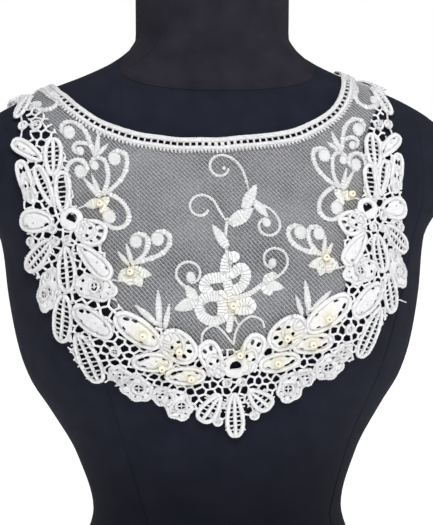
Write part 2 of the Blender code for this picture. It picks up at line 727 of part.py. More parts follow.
def build_net(form, material):
    """The net front, with its satin scrolls and leaves raised in its outer points."""
    top = smooth_line(NECK_LINE, 34)
    low = smooth_line(edge_as_worn(NET_EDGE), 44)
    outline = np.vstack([top, low])
    contours, ridges, level = [], [], []
    for scroll in [*both_sides(SIDE_SCROLLS), *MIDDLE_SCROLLS]:
        line = scroll_line(scroll)
        contours.append(ribbon(line, scroll.width))
        ridges.append(line)
    for leaf in [*both_sides(SIDE_LEAVES), *MIDDLE_LEAVES]:
        edge, middle = leaf_outline(leaf)
        contours.append(edge)
        ridges.append(middle)
    low_corner, high_corner = outline.min(0), outline.max(0)
    places = np.array([
        (across, up)
        for across in np.arange(low_corner[0], high_corner[0], NET_LATTICE)
        for up in np.arange(low_corner[1], high_corner[1], NET_LATTICE)
    ])
    places = places[inside(outline, places) & (distance_to(outline, places) > NET_MARGIN)]
    for contour in contours:
        places = places[distance_to(contour, places) > NET_MARGIN]
        if inside(outline, contour).all():
            level.extend(contour)
    sizes = (NET_CLEAR, NET_THICK, SATIN_RISE)
    return wall(form, "net_panel", [outline], [], ridges, [*places, *level], sizes, material)


def build_border(form, material):
    """The guipure border: motifs and bars as one wall, with the gaps cut through."""
    ground = np.vstack([
        smooth_line(edge_as_worn(GROUND_OUTER), 40),
        smooth_line(edge_as_worn(GROUND_INNER)[::-1], 40),
    ])
    petals = [*both_sides(PETALS), *MIDDLE_PETALS]
    rings = [*both_sides(RINGS), *MIDDLE_RINGS]
    outlines = [petal_outline(form, petal) for petal in petals]
    middles = [Point(ring.across, ring.up) for ring in rings]
    outlines += [round_outline(form, at, ring.outer, RING_SIDES + 2) for at, ring in zip(middles, rings)]
    gaps = bar_gaps(form, ground, outlines)
    holes = [(gap, 0.0) for gap in gaps]
    cuts = [round_outline(form, at, ring.hole, RING_SIDES) for at, ring in zip(middles, rings)]
    for petal in petals:
        cuts += petal_slits(form, petal)
    kept = []
    for cut in cuts:
        apart = all(
            distance_to(other, cut).min() > 2 * BAR_HALF and not inside(other, cut).any() for other in kept
        )
        if apart:
            kept.append(cut)
    holes += [(cut, 1.0) for cut in kept]
    sizes = (BORDER_CLEAR, BORDER_THICK, CORD_RISE)
    return wall(form, "guipure_border", [ground, *outlines], holes, [], [], sizes, material)


def build_neckband(form, material):
    """The ladder braid along the neck: two raised cords with a sunk ladder between."""
    line = smooth_line(NECK_LINE, BAND_STATIONS)
    slope = np.gradient(line, axis=0)
    slope /= np.linalg.norm(slope, axis=1)[:, None]
    beside = np.column_stack([-slope[:, 1], slope[:, 0]])
    outer = [form.lay(line + beside * share * BAND_HALF, BAND_CLEAR + rise) for share, rise in BAND_PROFILE]
    inner = [form.lay(line + beside * share * BAND_HALF, BAND_CLEAR) for share in (1.0, -1.0)]
    rings = np.array(outer + inner)
    around, stations = rings.shape[:2]
    points = rings.transpose(1, 0, 2).reshape(-1, 3)
    faces = []
    for station in range(stations - 1):
        for side in range(around):
            after = (side + 1) % around
            first, second = station * around, (station + 1) * around
            faces.append((first + side, first + after, second + after, second + side))
    faces.append(tuple(range(around)))
    faces.append(tuple(range((stations - 1) * around, stations * around)))
    return new_object("neckband", points, faces, material)


def cloth_material(name, colour, roughness):
    """A plain matt cloth colour."""
    material = bpy.data.materials.new(name)
    material.use_nodes = True
    shader = material.node_tree.nodes["Principled BSDF"]
    shader.inputs["Base Color"].default_value = (*colour, 1)
    shader.inputs["Roughness"].default_value = roughness
    return material


def main():
    for obj in list(bpy.data.objects):
        bpy.data.objects.remove(obj)
    collection = bpy.data.collections.new("Lace_yoke_on_dress_form")
    bpy.context.scene.collection.children.link(collection)
    navy = cloth_material("form_cloth", (0.022, 0.027, 0.045), 0.85)
    charcoal = cloth_material("neck_cloth", (0.028, 0.025, 0.033), 0.85)
    net = cloth_material("net_cloth", (0.55, 0.55, 0.55), 0.8)
    lace = cloth_material("lace_cotton", (0.85, 0.85, 0.86), 0.7)
    braid = cloth_material("braid_cotton", (0.84, 0.84, 0.85), 0.7)
    form = FormLines()
    pieces = build_form(navy, charcoal)
    pieces.append(build_net(form, net))
    pieces.append(build_neckband(form, braid))
    pieces.append(build_border(form, lace))
    for piece in pieces:
        collection.objects.link(piece)


main()
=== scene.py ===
"""Looks of the guipure lace yoke on its limbless dress form.

Sizes are in millimetres until a mesh is made. The lace is drawn flat in the yoke's own frame: across from
its middle line, and up from below its tip. Threads, pads and holes are drawn over a fine grid, the cloth is
cut out of that grid, and each flat point is then laid on the form and moved out along the form's normal.
"""

import logging
import math
from dataclasses import dataclass, field
from enum import Enum
from typing import Callable, Iterator, NamedTuple, Optional, Sequence

import bpy
import numpy as np
from mathutils import Matrix, Vector


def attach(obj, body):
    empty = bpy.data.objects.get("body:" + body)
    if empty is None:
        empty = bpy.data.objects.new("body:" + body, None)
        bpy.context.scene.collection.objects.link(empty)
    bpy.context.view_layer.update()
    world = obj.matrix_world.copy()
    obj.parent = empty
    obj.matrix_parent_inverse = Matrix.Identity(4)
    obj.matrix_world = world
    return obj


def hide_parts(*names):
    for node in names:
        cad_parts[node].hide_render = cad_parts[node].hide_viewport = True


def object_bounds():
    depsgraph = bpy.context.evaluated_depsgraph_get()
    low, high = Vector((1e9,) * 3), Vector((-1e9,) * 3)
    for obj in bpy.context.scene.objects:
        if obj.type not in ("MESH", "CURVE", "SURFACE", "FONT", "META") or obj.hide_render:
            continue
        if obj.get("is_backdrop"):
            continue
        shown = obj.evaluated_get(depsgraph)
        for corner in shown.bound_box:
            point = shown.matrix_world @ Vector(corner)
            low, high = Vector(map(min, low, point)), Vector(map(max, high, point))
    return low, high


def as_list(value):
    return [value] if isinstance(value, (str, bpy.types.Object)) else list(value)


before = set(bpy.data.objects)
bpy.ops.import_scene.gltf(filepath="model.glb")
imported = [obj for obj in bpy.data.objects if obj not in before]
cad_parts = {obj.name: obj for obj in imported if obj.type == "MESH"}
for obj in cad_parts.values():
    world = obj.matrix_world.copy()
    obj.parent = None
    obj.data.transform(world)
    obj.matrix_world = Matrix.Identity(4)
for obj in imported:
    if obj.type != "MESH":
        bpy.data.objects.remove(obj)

CAD_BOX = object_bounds()
LOG = logging.getLogger("lace_yoke")
MM = 0.001
Place = Callable[[np.ndarray, object], np.ndarray]
Colour = tuple[float, float, float, float]


class Point(NamedTuple):
    """A flat place on the yoke."""

    across: float
    up: float


class Section(NamedTuple):
    """One level section of the dress form."""

    height: float
    half_width: float
    front: float
    back: float
    centre: float
    fullness: float


class Hang(NamedTuple):
    """How much higher one side of the yoke hangs than the other, at one place up it."""

    up: float
    lift: float


class Settle(NamedTuple):
    """How far the cloth has settled aside and up from its drawn place, round one spot."""

    spot: Point
    aside: float
    lift: float


class Sprig(NamedTuple):
    """A satin stroke along a line through a few places, with its width."""

    width: float
    line: tuple[Point, ...]


class Tie(NamedTuple):
    """A short tie between two flat places."""

    start: Point
    end: Point


class Fill(Enum):
    """How the inside of a cord-rimmed petal is worked."""

    LADDER = "open slits with ties beside a middle bar"
    SATIN = "a raised satin pad inside the rim"
    SEED = "a thin ground with pinholes and a rosette"
    FAN = "curved bars round the petal's base"


class Petal(NamedTuple):
    """A cord-rimmed petal: base, tip and width, how it narrows, and how it is filled."""

    base: Point
    tip: Point
    width: float
    rows: int
    taper: float
    fill: Fill


class Ring(NamedTuple):
    """A small worked ring: middle, outer radius and hole radius."""

    middle: Point
    outer: float
    hole: float


class Collar(NamedTuple):
    """A padded collar round a half-moon eyelet: middle, outer radius, eyelet size and its top's heading."""

    middle: Point
    outer: float
    hole: float
    faces: float


class Scroll(NamedTuple):
    """A satin scroll that ends in a curl with a round blob.

    Attributes:
        start: Where it leaves its stem.
        heading: In which direction it leaves, in degrees.
        eye: The curl's middle.
        radius: The curl's radius where the scroll joins it.
        joins: Where on the curl that is, in degrees.
        turn: Which way it curls, 1 or -1.
        width: The stroke's width.
        blob: The blob's radius.
    """

    start: Point
    heading: float
    eye: Point
    radius: float
    joins: float
    turn: int
    width: float
    blob: float


class Leaf(NamedTuple):
    """A satin leaf: base, tip and width."""

    base: Point
    tip: Point
    width: float


class Lamp(NamedTuple):
    """A soft square light: name, place and side in metres, and power in watts."""

    name: str
    place: tuple[float, float, float]
    side: float
    power: float


def places(*pairs: tuple[float, float]) -> tuple[Point, ...]:
    """Flat places from pairs of numbers."""
    return tuple(Point(*pair) for pair in pairs)


def table(kind: type, *rows: tuple) -> tuple:
    """Rows of one kind, with each pair in them read as a flat place."""
    return tuple(kind(*(Point(*part) if isinstance(part, tuple) else part for part in row)) for row in rows)


SECTIONS = table(
    Section,
    (0, 146, 104, 124, 0, 2.3),
    (60, 144, 103, 127, 0, 2.3),
    (120, 126, 95, 110, 0, 2.25),
    (160, 104, 86, 88, 0, 2.2),
    (186, 97, 82, 78, 0, 2.2),
    (230, 109, 88, 80, 0, 2.2),
    (266, 129, 95, 86, 0, 2.2),
    (290, 144, 101, 91, 0, 2.2),
    (313, 152, 106, 95, 0, 2.2),
    (352, 159, 110, 100, 0, 2.2),
    (395, 164, 106, 104, 0, 2.2),
    (418, 178, 101, 106, 2, 2.2),
    (445, 190, 94, 104, 4, 2.2),
    (472, 187, 84, 100, 5, 2.2),
    (487, 172, 77, 96, 5, 2.15),
    (500, 150, 70, 90, 5, 2.1),
    (511, 124, 64, 83, 5, 2.1),
    (521, 98, 58, 76, 5, 2.1),
    (531, 77, 55, 68, 4, 2.1),
    (540, 65, 54, 61, 2, 2.1),
    (550, 59, 53, 55, 0, 2.1),
    (580, 59, 53, 53, -3, 2.1),
    (610, 60, 54, 54, -6, 2.1),
)
NECK_LINE = places(
    (-117, 341), (-115, 318), (-111, 297), (-105, 286), (-98, 275), (-84, 262), (-69, 255),
    (-54, 250), (-40, 247), (-26, 244), (-12, 243), (3, 242), (18, 243), (33, 244), (48, 246),
    (61, 249), (73, 254), (83, 259), (93, 266), (101, 276), (107, 289), (111, 304), (114, 320),
    (115, 341),
)
NET_EDGE = places(
    (135, 341), (136, 318), (133, 290), (122, 268), (110, 241), (106, 205), (100, 184), (88, 170),
    (85, 142), (79, 125), (66, 115), (46, 107), (33, 98), (17, 92), (0, 91),
)
GROUND_OUTER = places(
    (143, 341), (144, 318), (139, 285), (133, 262), (136, 240), (140, 215), (139, 185), (133, 150),
    (120, 128), (104, 84), (80, 64), (56, 52), (33, 46), (13, 46), (0, 46),
)
GROUND_INNER = places(
    (133, 341), (133, 318), (131, 288), (119, 268), (108, 240), (103, 205), (96, 186), (84, 170),
    (81, 143), (75, 127), (63, 118), (44, 110), (31, 101), (17, 96), (0, 95),
)
HANGS = table(
    Hang,
    (30, 9), (90, 8), (125, 2), (190, -1), (245, -6), (275, -11), (341, -4),
)
SETTLES = table(
    Settle,
    ((-146, 250), 4, 1), ((-144, 192), 5, 0), ((-107, 189), 2, 0), ((-139, 153), 3, 2),
    ((-117, 237), 2, -1), ((-141, 236), 4, -2), ((-144, 282), 4, -3), ((146, 244), -7, -2),
    ((144, 229), -4, -4), ((143, 190), -5, -4), ((108, 189), 0, -1), ((140, 153), -1, 2),
    ((127, 127), 9, 3), ((91, 144), 5, 1), ((93, 182), 0, -2), ((90, 161), -2, -3),
    ((-67, 111), 2, -2), ((63, 114), 4, -3), ((38, 99), 1, 0), ((-37, 91), 0, 1), ((-50, 80), 1, 1),
    ((-30, 72), 1, 1), ((7, 90), 0, 0), ((58, 92), 0, 1), ((32, 79), 1, 2), ((-65, 51), 2, 3),
    ((-39, 37), 3, 3), ((-24, 36), 4, 3), ((-1, 26), 4, 1), ((23, 43), 4, 3), ((38, 47), 3, 3),
    ((65, 60), 4, 4), ((-12, 36), 3, 2), ((72, 230), 7, 2), ((72, 205), 7, 3), ((92, 201), 3, 0),
    ((52, 172), 7, 0), ((69, 155), 1, -1), ((100, 250), 4, 3),
)
SETTLE_REACH = 13.0
SETTLE_FADE = 0.08
FULL_HANG_FROM = 35.0

PETALS = table(
    Petal,
    ((130, 303), (142, 272), 12, 1, 0.2, Fill.LADDER),
    ((130, 338), (143, 306), 12, 1, 0.2, Fill.LADDER),
    ((125, 234), (146, 251), 13, 1, 0.3, Fill.SATIN),
    ((117, 222), (116, 251), 16, 2, 0.2, Fill.LADDER),
    ((134, 203), (142, 236), 13, 1, 0.3, Fill.FAN),
    ((118, 200), (130, 231), 12, 1, 0.3, Fill.LADDER),
    ((111, 195), (111, 226), 15, 1, 0.3, Fill.LADDER),
    ((118, 189), (144, 192), 20, 2, 0.3, Fill.SATIN),
    ((120, 176), (139, 153), 18, 2, 0.3, Fill.LADDER),
    ((111, 171), (109, 138), 20, 2, 0.3, Fill.LADDER),
    ((102, 172), (80, 147), 17, 1, 0.4, Fill.SATIN),
    ((103, 184), (82, 177), 21, 1, 0.2, Fill.FAN),
    ((120, 154), (127, 125), 20, 0, 0.0, Fill.SEED),
    ((105, 145), (78, 138), 17, 0, 0.0, Fill.SEED),
    ((112, 137), (115, 103), 20, 2, 0.1, Fill.LADDER),
    ((106, 128), (82, 110), 18, 1, 0.0, Fill.SATIN),
    ((104, 111), (91, 69), 22, 2, 0.25, Fill.LADDER),
    ((80, 124), (51, 98), 18, 1, 0.0, Fill.SATIN),
    ((70, 87), (42, 85), 16, 1, 0.0, Fill.SATIN),
    ((50, 109), (27, 87), 21, 1, 0.0, Fill.FAN),
    ((48, 75), (19, 75), 15, 1, 0.0, Fill.SATIN),
    ((84, 82), (70, 66), 15, 0, 0.0, Fill.SEED),
    ((76, 72), (59, 53), 21, 0, 0.0, Fill.SEED),
    ((54, 63), (46, 49), 15, 0, 0.0, Fill.SEED),
    ((44, 62), (36, 38), 19, 0, 0.0, Fill.SEED),
    ((10, 60), (25, 37), 19, 2, 0.5, Fill.LADDER),
    ((8, 74), (20, 101), 20, 1, 0.4, Fill.FAN),
)
MIDDLE_PETALS = table(
    Petal,
    ((2, 62), (3, 27), 17, 2, 0.4, Fill.LADDER),
)
RINGS = table(
    Ring,
    ((138, 262), 3.8, 1.8), ((128, 261), 4.2, 2.4), ((136, 175), 3.8, 1.7), ((119, 184), 3.6, 1.5),
    ((117, 175), 3.4, 1.4), ((109, 176), 3.4, 1.4), ((124, 149), 3.8, 1.8), ((127, 136), 4.6, 2.6),
    ((91, 142), 4.8, 2.8), ((81, 97), 4.2, 1.9), ((66, 62), 5.2, 3.2), ((38, 49), 4.8, 2.9),
    ((13, 38), 3.8, 1.6),
)
MIDDLE_RINGS = table(
    Ring,
    ((-3, 70), 3.6, 1.7), ((8, 70), 3.2, 1.3),
)
COLLARS = table(
    Collar,
    ((106, 190), 9.0, 4.4, 115), ((-106, 190), 9.0, 4.4, 65),
)
MIDDLE_COLLAR = Collar(Point(3, 81), 9.5, 4.2, 95)
TIES = table(
    Tie,
    ((138, 262), (139, 274)), ((138, 262), (129, 262)), ((138, 262), (140, 251)),
    ((136, 175), (131, 182)), ((136, 175), (129, 170)), ((13, 38), (6, 42)),
    ((13, 38), (19, 44)), ((13, 38), (11, 47)),
)
LOOSE_END = places((113, 113), (121, 113.5), (128.5, 110))

SIDE_SCROLLS = table(
    Scroll,
    ((-109, 219), 80, (-99, 228), 7.0, 120, -1, 3.1, 4.5),
    ((-84, 208), 55, (-85, 231), 6.0, 10, 1, 2.9, 3.2),
    ((-82, 208), 40, (-70, 236), 6.4, 0, 1, 3.2, 4.7),
    ((-86, 235), 110, (-104, 258), 6.7, 70, 1, 3.1, 4.7),
    ((-91, 246), 140, (-98, 243), 4.7, 90, 1, 2.7, 3.0),
    ((-79, 209), -20, (-76, 191), 9.8, 0, -1, 3.2, 4.9),
    ((-66, 156), 30, (-60, 173), 5.9, 0, 1, 3.2, 4.4),
    ((-65, 156), 20, (-45, 174), 6.3, -10, 1, 3.2, 4.7),
    ((-107, 322), 240, (-123, 288), 12.5, 30, -1, 4.0, 4.4),
)
MIDDLE_SCROLLS = table(
    Scroll,
    ((3, 184), 135, (-15, 196), 9.5, 60, 1, 1.9, 0.6),
    ((20, 207), 95, (2, 225), 9.5, 75, 1, 1.9, 1.4),
    ((23, 197), -10, (31, 180), 9.0, 10, -1, 1.9, 3.2),
    ((-29, 137), 130, (-27, 148), 10.0, 180, -1, 1.9, 3.6),
    ((31, 141), 30, (33, 155), 10.0, -20, 1, 1.9, 3.0),
)
SIDE_LEAVES = table(
    Leaf,
    ((-86, 236), (-82, 256), 3.6), ((-85, 238), (-76, 247), 3.0), ((-86, 206), (-97, 222), 3.0),
    ((-85, 206), (-90, 224), 3.0), ((-84, 203), (-97, 200), 7), ((-86, 198), (-77, 194), 5.4),
    ((-86, 200), (-79, 206), 6.4), ((-66, 156), (-69, 172), 2.8), ((-68, 155), (-75, 166), 2.8),
    ((-70, 152), (-54, 148), 8), ((-68, 152), (-76, 145), 8), ((-67, 153), (-62, 141), 9),
    ((-68, 151), (-69, 142), 9), ((-52, 114), (-51, 139), 4.0), ((-53, 115), (-68, 130), 3.8),
    ((-48, 111), (-44, 129), 3.2),
)
MIDDLE_LEAVES = table(
    Leaf,
    ((15, 192), (26, 211), 8), ((4, 182), (22, 193), 10), ((23, 199), (32, 186), 6),
    ((1, 165), (-8, 182), 7), ((25, 139), (34, 146), 7), ((24, 139), (38, 135), 8),
    ((24, 138), (30, 131), 6), ((-23, 130), (-40, 124), 8.5), ((-24, 130), (-31, 140), 7),
)
SPRIGS = (
    Sprig(2.2, places((2, 150), (0, 166), (1, 178), (3, 186))),
    Sprig(7.4, places((-2, 145), (-1, 153), (1, 158), (6, 159))),
    Sprig(6.6, places((3, 147), (10, 151), (13, 146), (10, 139), (3, 135))),
    Sprig(6.4, places((-2, 148), (0, 137), (2, 125))),
    Sprig(6.8, places((-4, 145), (-14, 144), (-18, 139), (-15, 136))),
    Sprig(6.8, places((-4, 132), (-16, 132), (-22, 127), (-20, 119), (-12, 115), (-4, 118))),
    Sprig(7.0, places((-6, 133), (-5, 125), (-6, 117))),
    Sprig(4.4, places((1, 122), (0, 115), (-1, 109))),
    Sprig(7.2, places((6, 126), (13, 127), (15, 123), (9, 122), (5, 123))),
    Sprig(3.4, places((4, 130), (15, 133), (25, 139))),
    Sprig(1.7, places((-21, 98), (-20, 107), (-13, 112), (-7, 109), (1, 99))),
    Sprig(1.7, places((2, 98), (4, 107), (8, 113), (15, 117), (22, 114), (24, 109))),
    Sprig(1.5, places((3, 117), (6, 111))),
)
SIDE_SPRIGS = (
    Sprig(1.6, places((-55, 108), (-51, 113), (-51, 118))),
    Sprig(1.4, places((-76, 145), (-81, 146), (-86, 144))),
    Sprig(1.4, places((-96, 200), (-101, 198), (-106, 194))),
)
NET_BEADS = places(
    (-84, 201), (95, 200), (-67, 150), (69, 153), (2, 125),
)
BORDER_BEADS = places(
    (-61, 108), (67, 112), (-38, 96), (40, 101), (-49, 83), (57, 95), (-29, 75), (33, 83), (6, 91),
)
LAMPS = (
    Lamp("key", (-0.02, -1.25, 1.6), 0.9, 27.5),
    Lamp("fill", (1.4, -1.6, 0.9), 1.4, 5.5),
    Lamp("top", (0.0, 0.3, 2.2), 1.8, 5),
)


def steady_curve(places: Sequence[float], values: Sequence[float], at: np.ndarray) -> np.ndarray:
    """A smooth curve through the values that never swings past them.

    Args:
        places: Where the values stand, rising.
        values: The values there.
        at: Where the curve is read.

    Returns:
        The curve's values.
    """
    places = np.asarray(places, float)
    values = np.asarray(values, float)
    steps = np.diff(places)
    rates = np.diff(values) / steps
    slopes = np.empty_like(values)
    slopes[0], slopes[-1] = rates[0], rates[-1]
    before, after = rates[:-1], rates[1:]
    share_before = 2 * steps[1:] + steps[:-1]
    share_after = steps[1:] + 2 * steps[:-1]
    with np.errstate(divide="ignore", invalid="ignore"):
        mean = (share_before + share_after) / (share_before / before + share_after / after)
    slopes[1:-1] = np.where(before * after > 0, mean, 0.0)
    at = np.clip(at, places[0], places[-1])
    index = np.clip(np.searchsorted(places, at, side="right") - 1, 0, len(steps) - 1)
    step = steps[index]
    t = (at - places[index]) / step
    return (
        values[index] * (1 + 2 * t) * (1 - t) ** 2
        + step * slopes[index] * t * (1 - t) ** 2
        + values[index + 1] * t * t * (3 - 2 * t)
        + step * slopes[index + 1] * t * t * (t - 1)
    )


def smooth_line(points: Sequence[Point], count: int) -> np.ndarray:
    """A smooth flat line through the points, with even steps.

    Args:
        points: The places that the line goes through.
        count: How many points the line has.

    Returns:
        The line's points, a row each.
    """
    ends = np.array(points, float)
    ends = np.vstack([2 * ends[0] - ends[1], ends, 2 * ends[-1] - ends[-2]])
    t = np.linspace(0, 1, 9)[:-1, None]
    pieces = []
    for a, b, c, d in zip(ends, ends[1:], ends[2:], ends[3:]):
        bend = (2 * a - 5 * b + 4 * c - d) * t**2 + (3 * b - a - 3 * c + d) * t**3
        pieces.append(0.5 * (2 * b + (c - a) * t + bend))
    line = np.vstack([*pieces, ends[-2:-1]])
    length = np.concatenate([[0], np.cumsum(np.linalg.norm(np.diff(line, axis=0), axis=1))])
    even = np.linspace(0, length[-1], count)
    return np.column_stack([np.interp(even, length, line[:, 0]), np.interp(even, length, line[:, 1])])


def inside(outline: np.ndarray, points: np.ndarray) -> np.ndarray:
    """Which points lie inside a closed flat outline."""
    x, y = points[:, 0][:, None], points[:, 1][:, None]
    ax, ay = outline[:, 0], outline[:, 1]
    bx, by = np.roll(ax, -1), np.roll(ay, -1)
    with np.errstate(divide="ignore", invalid="ignore"):
        crossing = ((ay > y) != (by > y)) & (x < (bx - ax) * (y - ay) / (by - ay) + ax)
    return crossing.sum(1) % 2 == 1


def depth_in(outline: np.ndarray, points: np.ndarray) -> np.ndarray:
    """How deep each point lies inside a closed flat outline, negative outside it."""
    start = outline
    step = np.roll(outline, -1, axis=0) - start
    to_point = points[:, None] - start[None]
    share = np.clip((to_point * step).sum(-1) / np.maximum((step**2).sum(-1), 1e-9), 0, 1)
    distance = np.linalg.norm(to_point - share[..., None] * step, axis=-1).min(1)
    return np.where(inside(outline, points), distance, -distance)


def dome(share: np.ndarray) -> np.ndarray:
    """A round rise from 0 at the rim to 1 a full share in."""
    return np.sqrt(np.clip(1 - (1 - np.clip(share, 0, 1)) ** 2, 0, 1))


def circle(count: int) -> np.ndarray:
    """Points round a circle of radius 1."""
    turn = np.linspace(0, math.tau, count, endpoint=False)
    return np.column_stack([np.cos(turn), np.sin(turn)])


def mirrored(point: Point) -> Point:
    """The same flat place on the other side of the middle line."""
    return Point(-point.across, point.up)


def as_worn(point: Point) -> Point:
    """A flat place where it hangs: one side sits a little higher below and lower at the shoulder."""
    share = min(max(point.across / FULL_HANG_FROM, 0), 1)
    lift = np.interp(point.up, [hang.up for hang in HANGS], [hang.lift for hang in HANGS])
    return Point(point.across, point.up + lift * share * share * (3 - 2 * share))


def settled(point: Point) -> Point:
    """A flat place moved as the cloth has settled round it, and hardly at all far from every spot."""
    aside, lift, weights = 0.0, 0.0, SETTLE_FADE
    for settle in SETTLES:
        apart = math.hypot(point.across - settle.spot.across, point.up - settle.spot.up)
        weight = math.exp(-0.5 * (apart / SETTLE_REACH) ** 2)
        aside += weight * settle.aside
        lift += weight * settle.lift
        weights += weight
    return Point(point.across + aside / weights, point.up + lift / weights)


def row_changed(row: NamedTuple, change: Callable[[Point], Point]) -> NamedTuple:
    """A row of a table with each of its places changed, also those of a line."""
    changes = {}
    for name, value in row._asdict().items():
        if isinstance(value, Point):
            changes[name] = change(value)
        elif isinstance(value, tuple):
            changes[name] = tuple(map(change, value))
    return row._replace(**changes)


def other_side(row: NamedTuple) -> NamedTuple:
    """A row of a table on the other side of the middle line."""
    row = row_changed(row, mirrored)
    if isinstance(row, Scroll):
        row = row._replace(heading=180 - row.heading, joins=180 - row.joins, turn=-row.turn)
    return row


def both_sides(rows: Sequence[NamedTuple]) -> list[NamedTuple]:
    """A table's rows and their mirror images, as they hang."""
    rows = [*rows, *(other_side(row) for row in rows)]
    return [row_changed(row_changed(row, as_worn), settled) for row in rows]


def edge_as_worn(half: Sequence[Point]) -> list[Point]:
    """An edge from one shoulder to the other, as it hangs, from the half on one side."""
    return [as_worn(point) for point in [*half, *(mirrored(point) for point in half[-2::-1])]]


@dataclass
class FormSurface:
    """The dress form's outer surface, and how the flat yoke lies on it.

    Attributes:
        waist: Height from which the lines up the form are measured.
        bust_side: How far out to the side the soft rises of the bust stand.
        bust_height: How high they stand.
        bust_rise: How far they stand out.
        bust_wide: How wide they are.
        bust_tall: How tall they are.
        reference_height: A height on the form's front.
        reference_up: The flat yoke's place that lies at that height.
        turn: How far the yoke is turned in its own plane.
        turn_centre: The flat place that it is turned about.
        shift: How far it lies to the side.
        reach_side: How far to each side the table of lines reaches.
        reach_up: How far up the table reaches.
        step: Spacing of the table of lines up the form.
        sides: The places to the side where the table has a line.
        table: Depth and height of the form, for each line and each step up it.
    """

    waist: float = 186.0
    bust_side: float = 72.0
    bust_height: float = 350.0
    bust_rise: float = 20.0
    bust_wide: float = 46.0
    bust_tall: float = 52.0
    reference_height: float = 400.0
    reference_up: float = 174.0
    turn: float = math.radians(2)
    turn_centre: Point = Point(1, 75)
    shift: float = -4.0
    reach_side: float = 160.0
    reach_up: float = 420.0
    step: float = 2.0
    sides: np.ndarray = field(init=False, repr=False)
    table: np.ndarray = field(init=False, repr=False)

    def __post_init__(self) -> None:
        """Works out the table of lines up the form."""
        self.sides = np.arange(-self.reach_side, self.reach_side + self.step, self.step)
        ups = np.arange(0, self.reach_up, self.step)
        columns = []
        for side in self.sides:
            depth, height = self.line_up(side)
            length = np.concatenate([[0], np.cumsum(np.hypot(np.diff(depth), np.diff(height)))])
            top = int(height.argmax())
            up = length - np.interp(self.reference_height, height[:top], length[:top]) + self.reference_up
            columns.append(np.column_stack([np.interp(ups, up, depth), np.interp(ups, up, height)]))
        self.table = np.array(columns)

    def value(self, name: str, height: np.ndarray) -> np.ndarray:
        """One size of the form's section at any height."""
        heights = [row.height for row in SECTIONS]
        return steady_curve(heights, [getattr(row, name) for row in SECTIONS], height)

    def depth_share(self, side: np.ndarray, height: np.ndarray) -> np.ndarray:
        """How much of the section's full depth is left at a place out to the side."""
        share = np.abs(side / self.value("half_width", height))
        fullness = self.value("fullness", height)
        return np.clip(1 - share**fullness, 0, None) ** (1 / fullness)

    def front(self, side: np.ndarray, height: np.ndarray) -> np.ndarray:
        """The front surface, with the two soft rises of the bust."""
        share = self.depth_share(side, height)
        tall = ((height - self.bust_height) / self.bust_tall) ** 2
        aside = [((side - way * self.bust_side) / self.bust_wide) ** 2 for way in (-1, 1)]
        rises = sum(np.exp(-wide - tall) for wide in aside)
        bust = self.bust_rise * rises * np.sqrt(share)
        return self.value("centre", height) - self.value("front", height) * share - bust

    def back(self, side: np.ndarray, height: np.ndarray) -> np.ndarray:
        """The back surface."""
        return self.value("centre", height) + self.value("back", height) * self.depth_share(side, height)

    def line_up(self, side: float) -> tuple[np.ndarray, np.ndarray]:
        """Depths and heights up the front at one place to the side, over the ridge and down the back."""
        heights = np.linspace(self.waist, SECTIONS[-1].height, 1600)
        within = np.flatnonzero(self.value("half_width", heights) > abs(side))
        low, ridge = heights[within[0]], heights[within[-1]]
        up = low + (ridge - low) * np.sin(np.linspace(0, math.pi / 2, 300))
        sides = np.full_like(up, side)
        return (
            np.concatenate([self.front(sides, up), self.back(sides, up)[-2::-1]]),
            np.concatenate([up, up[-2::-1]]),
        )

    def at(self, side: np.ndarray, up: np.ndarray) -> np.ndarray:
        """The points on the form, by a smooth curve through the table's sixteen nearest entries."""
        i = np.clip((side - self.sides[0]) / self.step, 1, len(self.sides) - 2.001)
        j = np.clip(up / self.step, 1, self.table.shape[1] - 2.001)
        low_i, low_j = i.astype(int), j.astype(int)
        weights = []
        for t in (i - low_i, j - low_j):
            weights.append((
                0.5 * (-t + 2 * t**2 - t**3),
                0.5 * (2 - 5 * t**2 + 3 * t**3),
                0.5 * (t + 4 * t**2 - 3 * t**3),
                0.5 * (t**3 - t**2),
            ))
        found = np.zeros((len(side), 2))
        for a in range(4):
            for b in range(4):
                share = (weights[0][a] * weights[1][b])[:, None]
                found += share * self.table[low_i + a - 1, low_j + b - 1]
        return np.column_stack([side, found])

    def lay(self, flat: np.ndarray, out: object) -> np.ndarray:
        """Flat points of the yoke laid on the form and moved out along its normal.

        Args:
            flat: Flat points, a row each.
            out: How far out, one number or one for each point.

        Returns:
            Points in millimetres.
        """
        flat = np.asarray(flat, float)
        cos, sin = math.cos(self.turn), math.sin(self.turn)
        across, up = flat[:, 0] - self.turn_centre.across, flat[:, 1] - self.turn_centre.up
        side = self.turn_centre.across + self.shift + across * cos - up * sin
        up = self.turn_centre.up + across * sin + up * cos
        reach = self.step
        to_side = self.at(side + reach, up) - self.at(side - reach, up)
        to_top = self.at(side, up + reach) - self.at(side, up - reach)
        normal = np.cross(to_side, to_top)
        normal /= np.linalg.norm(normal, axis=1)[:, None]
        return self.at(side, up) + normal * np.broadcast_to(out, len(flat))[:, None]

    def stretch(self, middle: np.ndarray) -> np.ndarray:
        """The 2 by 2 table that turns a small flat step near a place into a step of real size."""
        here, to_side, to_top = self.lay([middle, middle + (1, 0), middle + (0, 1)], 0.0)
        along, upward = to_side - here, to_top - here
        first = along / np.linalg.norm(along)
        second = upward - first * upward.dot(first)
        second /= np.linalg.norm(second)
        return np.array([[along.dot(first), upward.dot(first)], [along.dot(second), upward.dot(second)]])


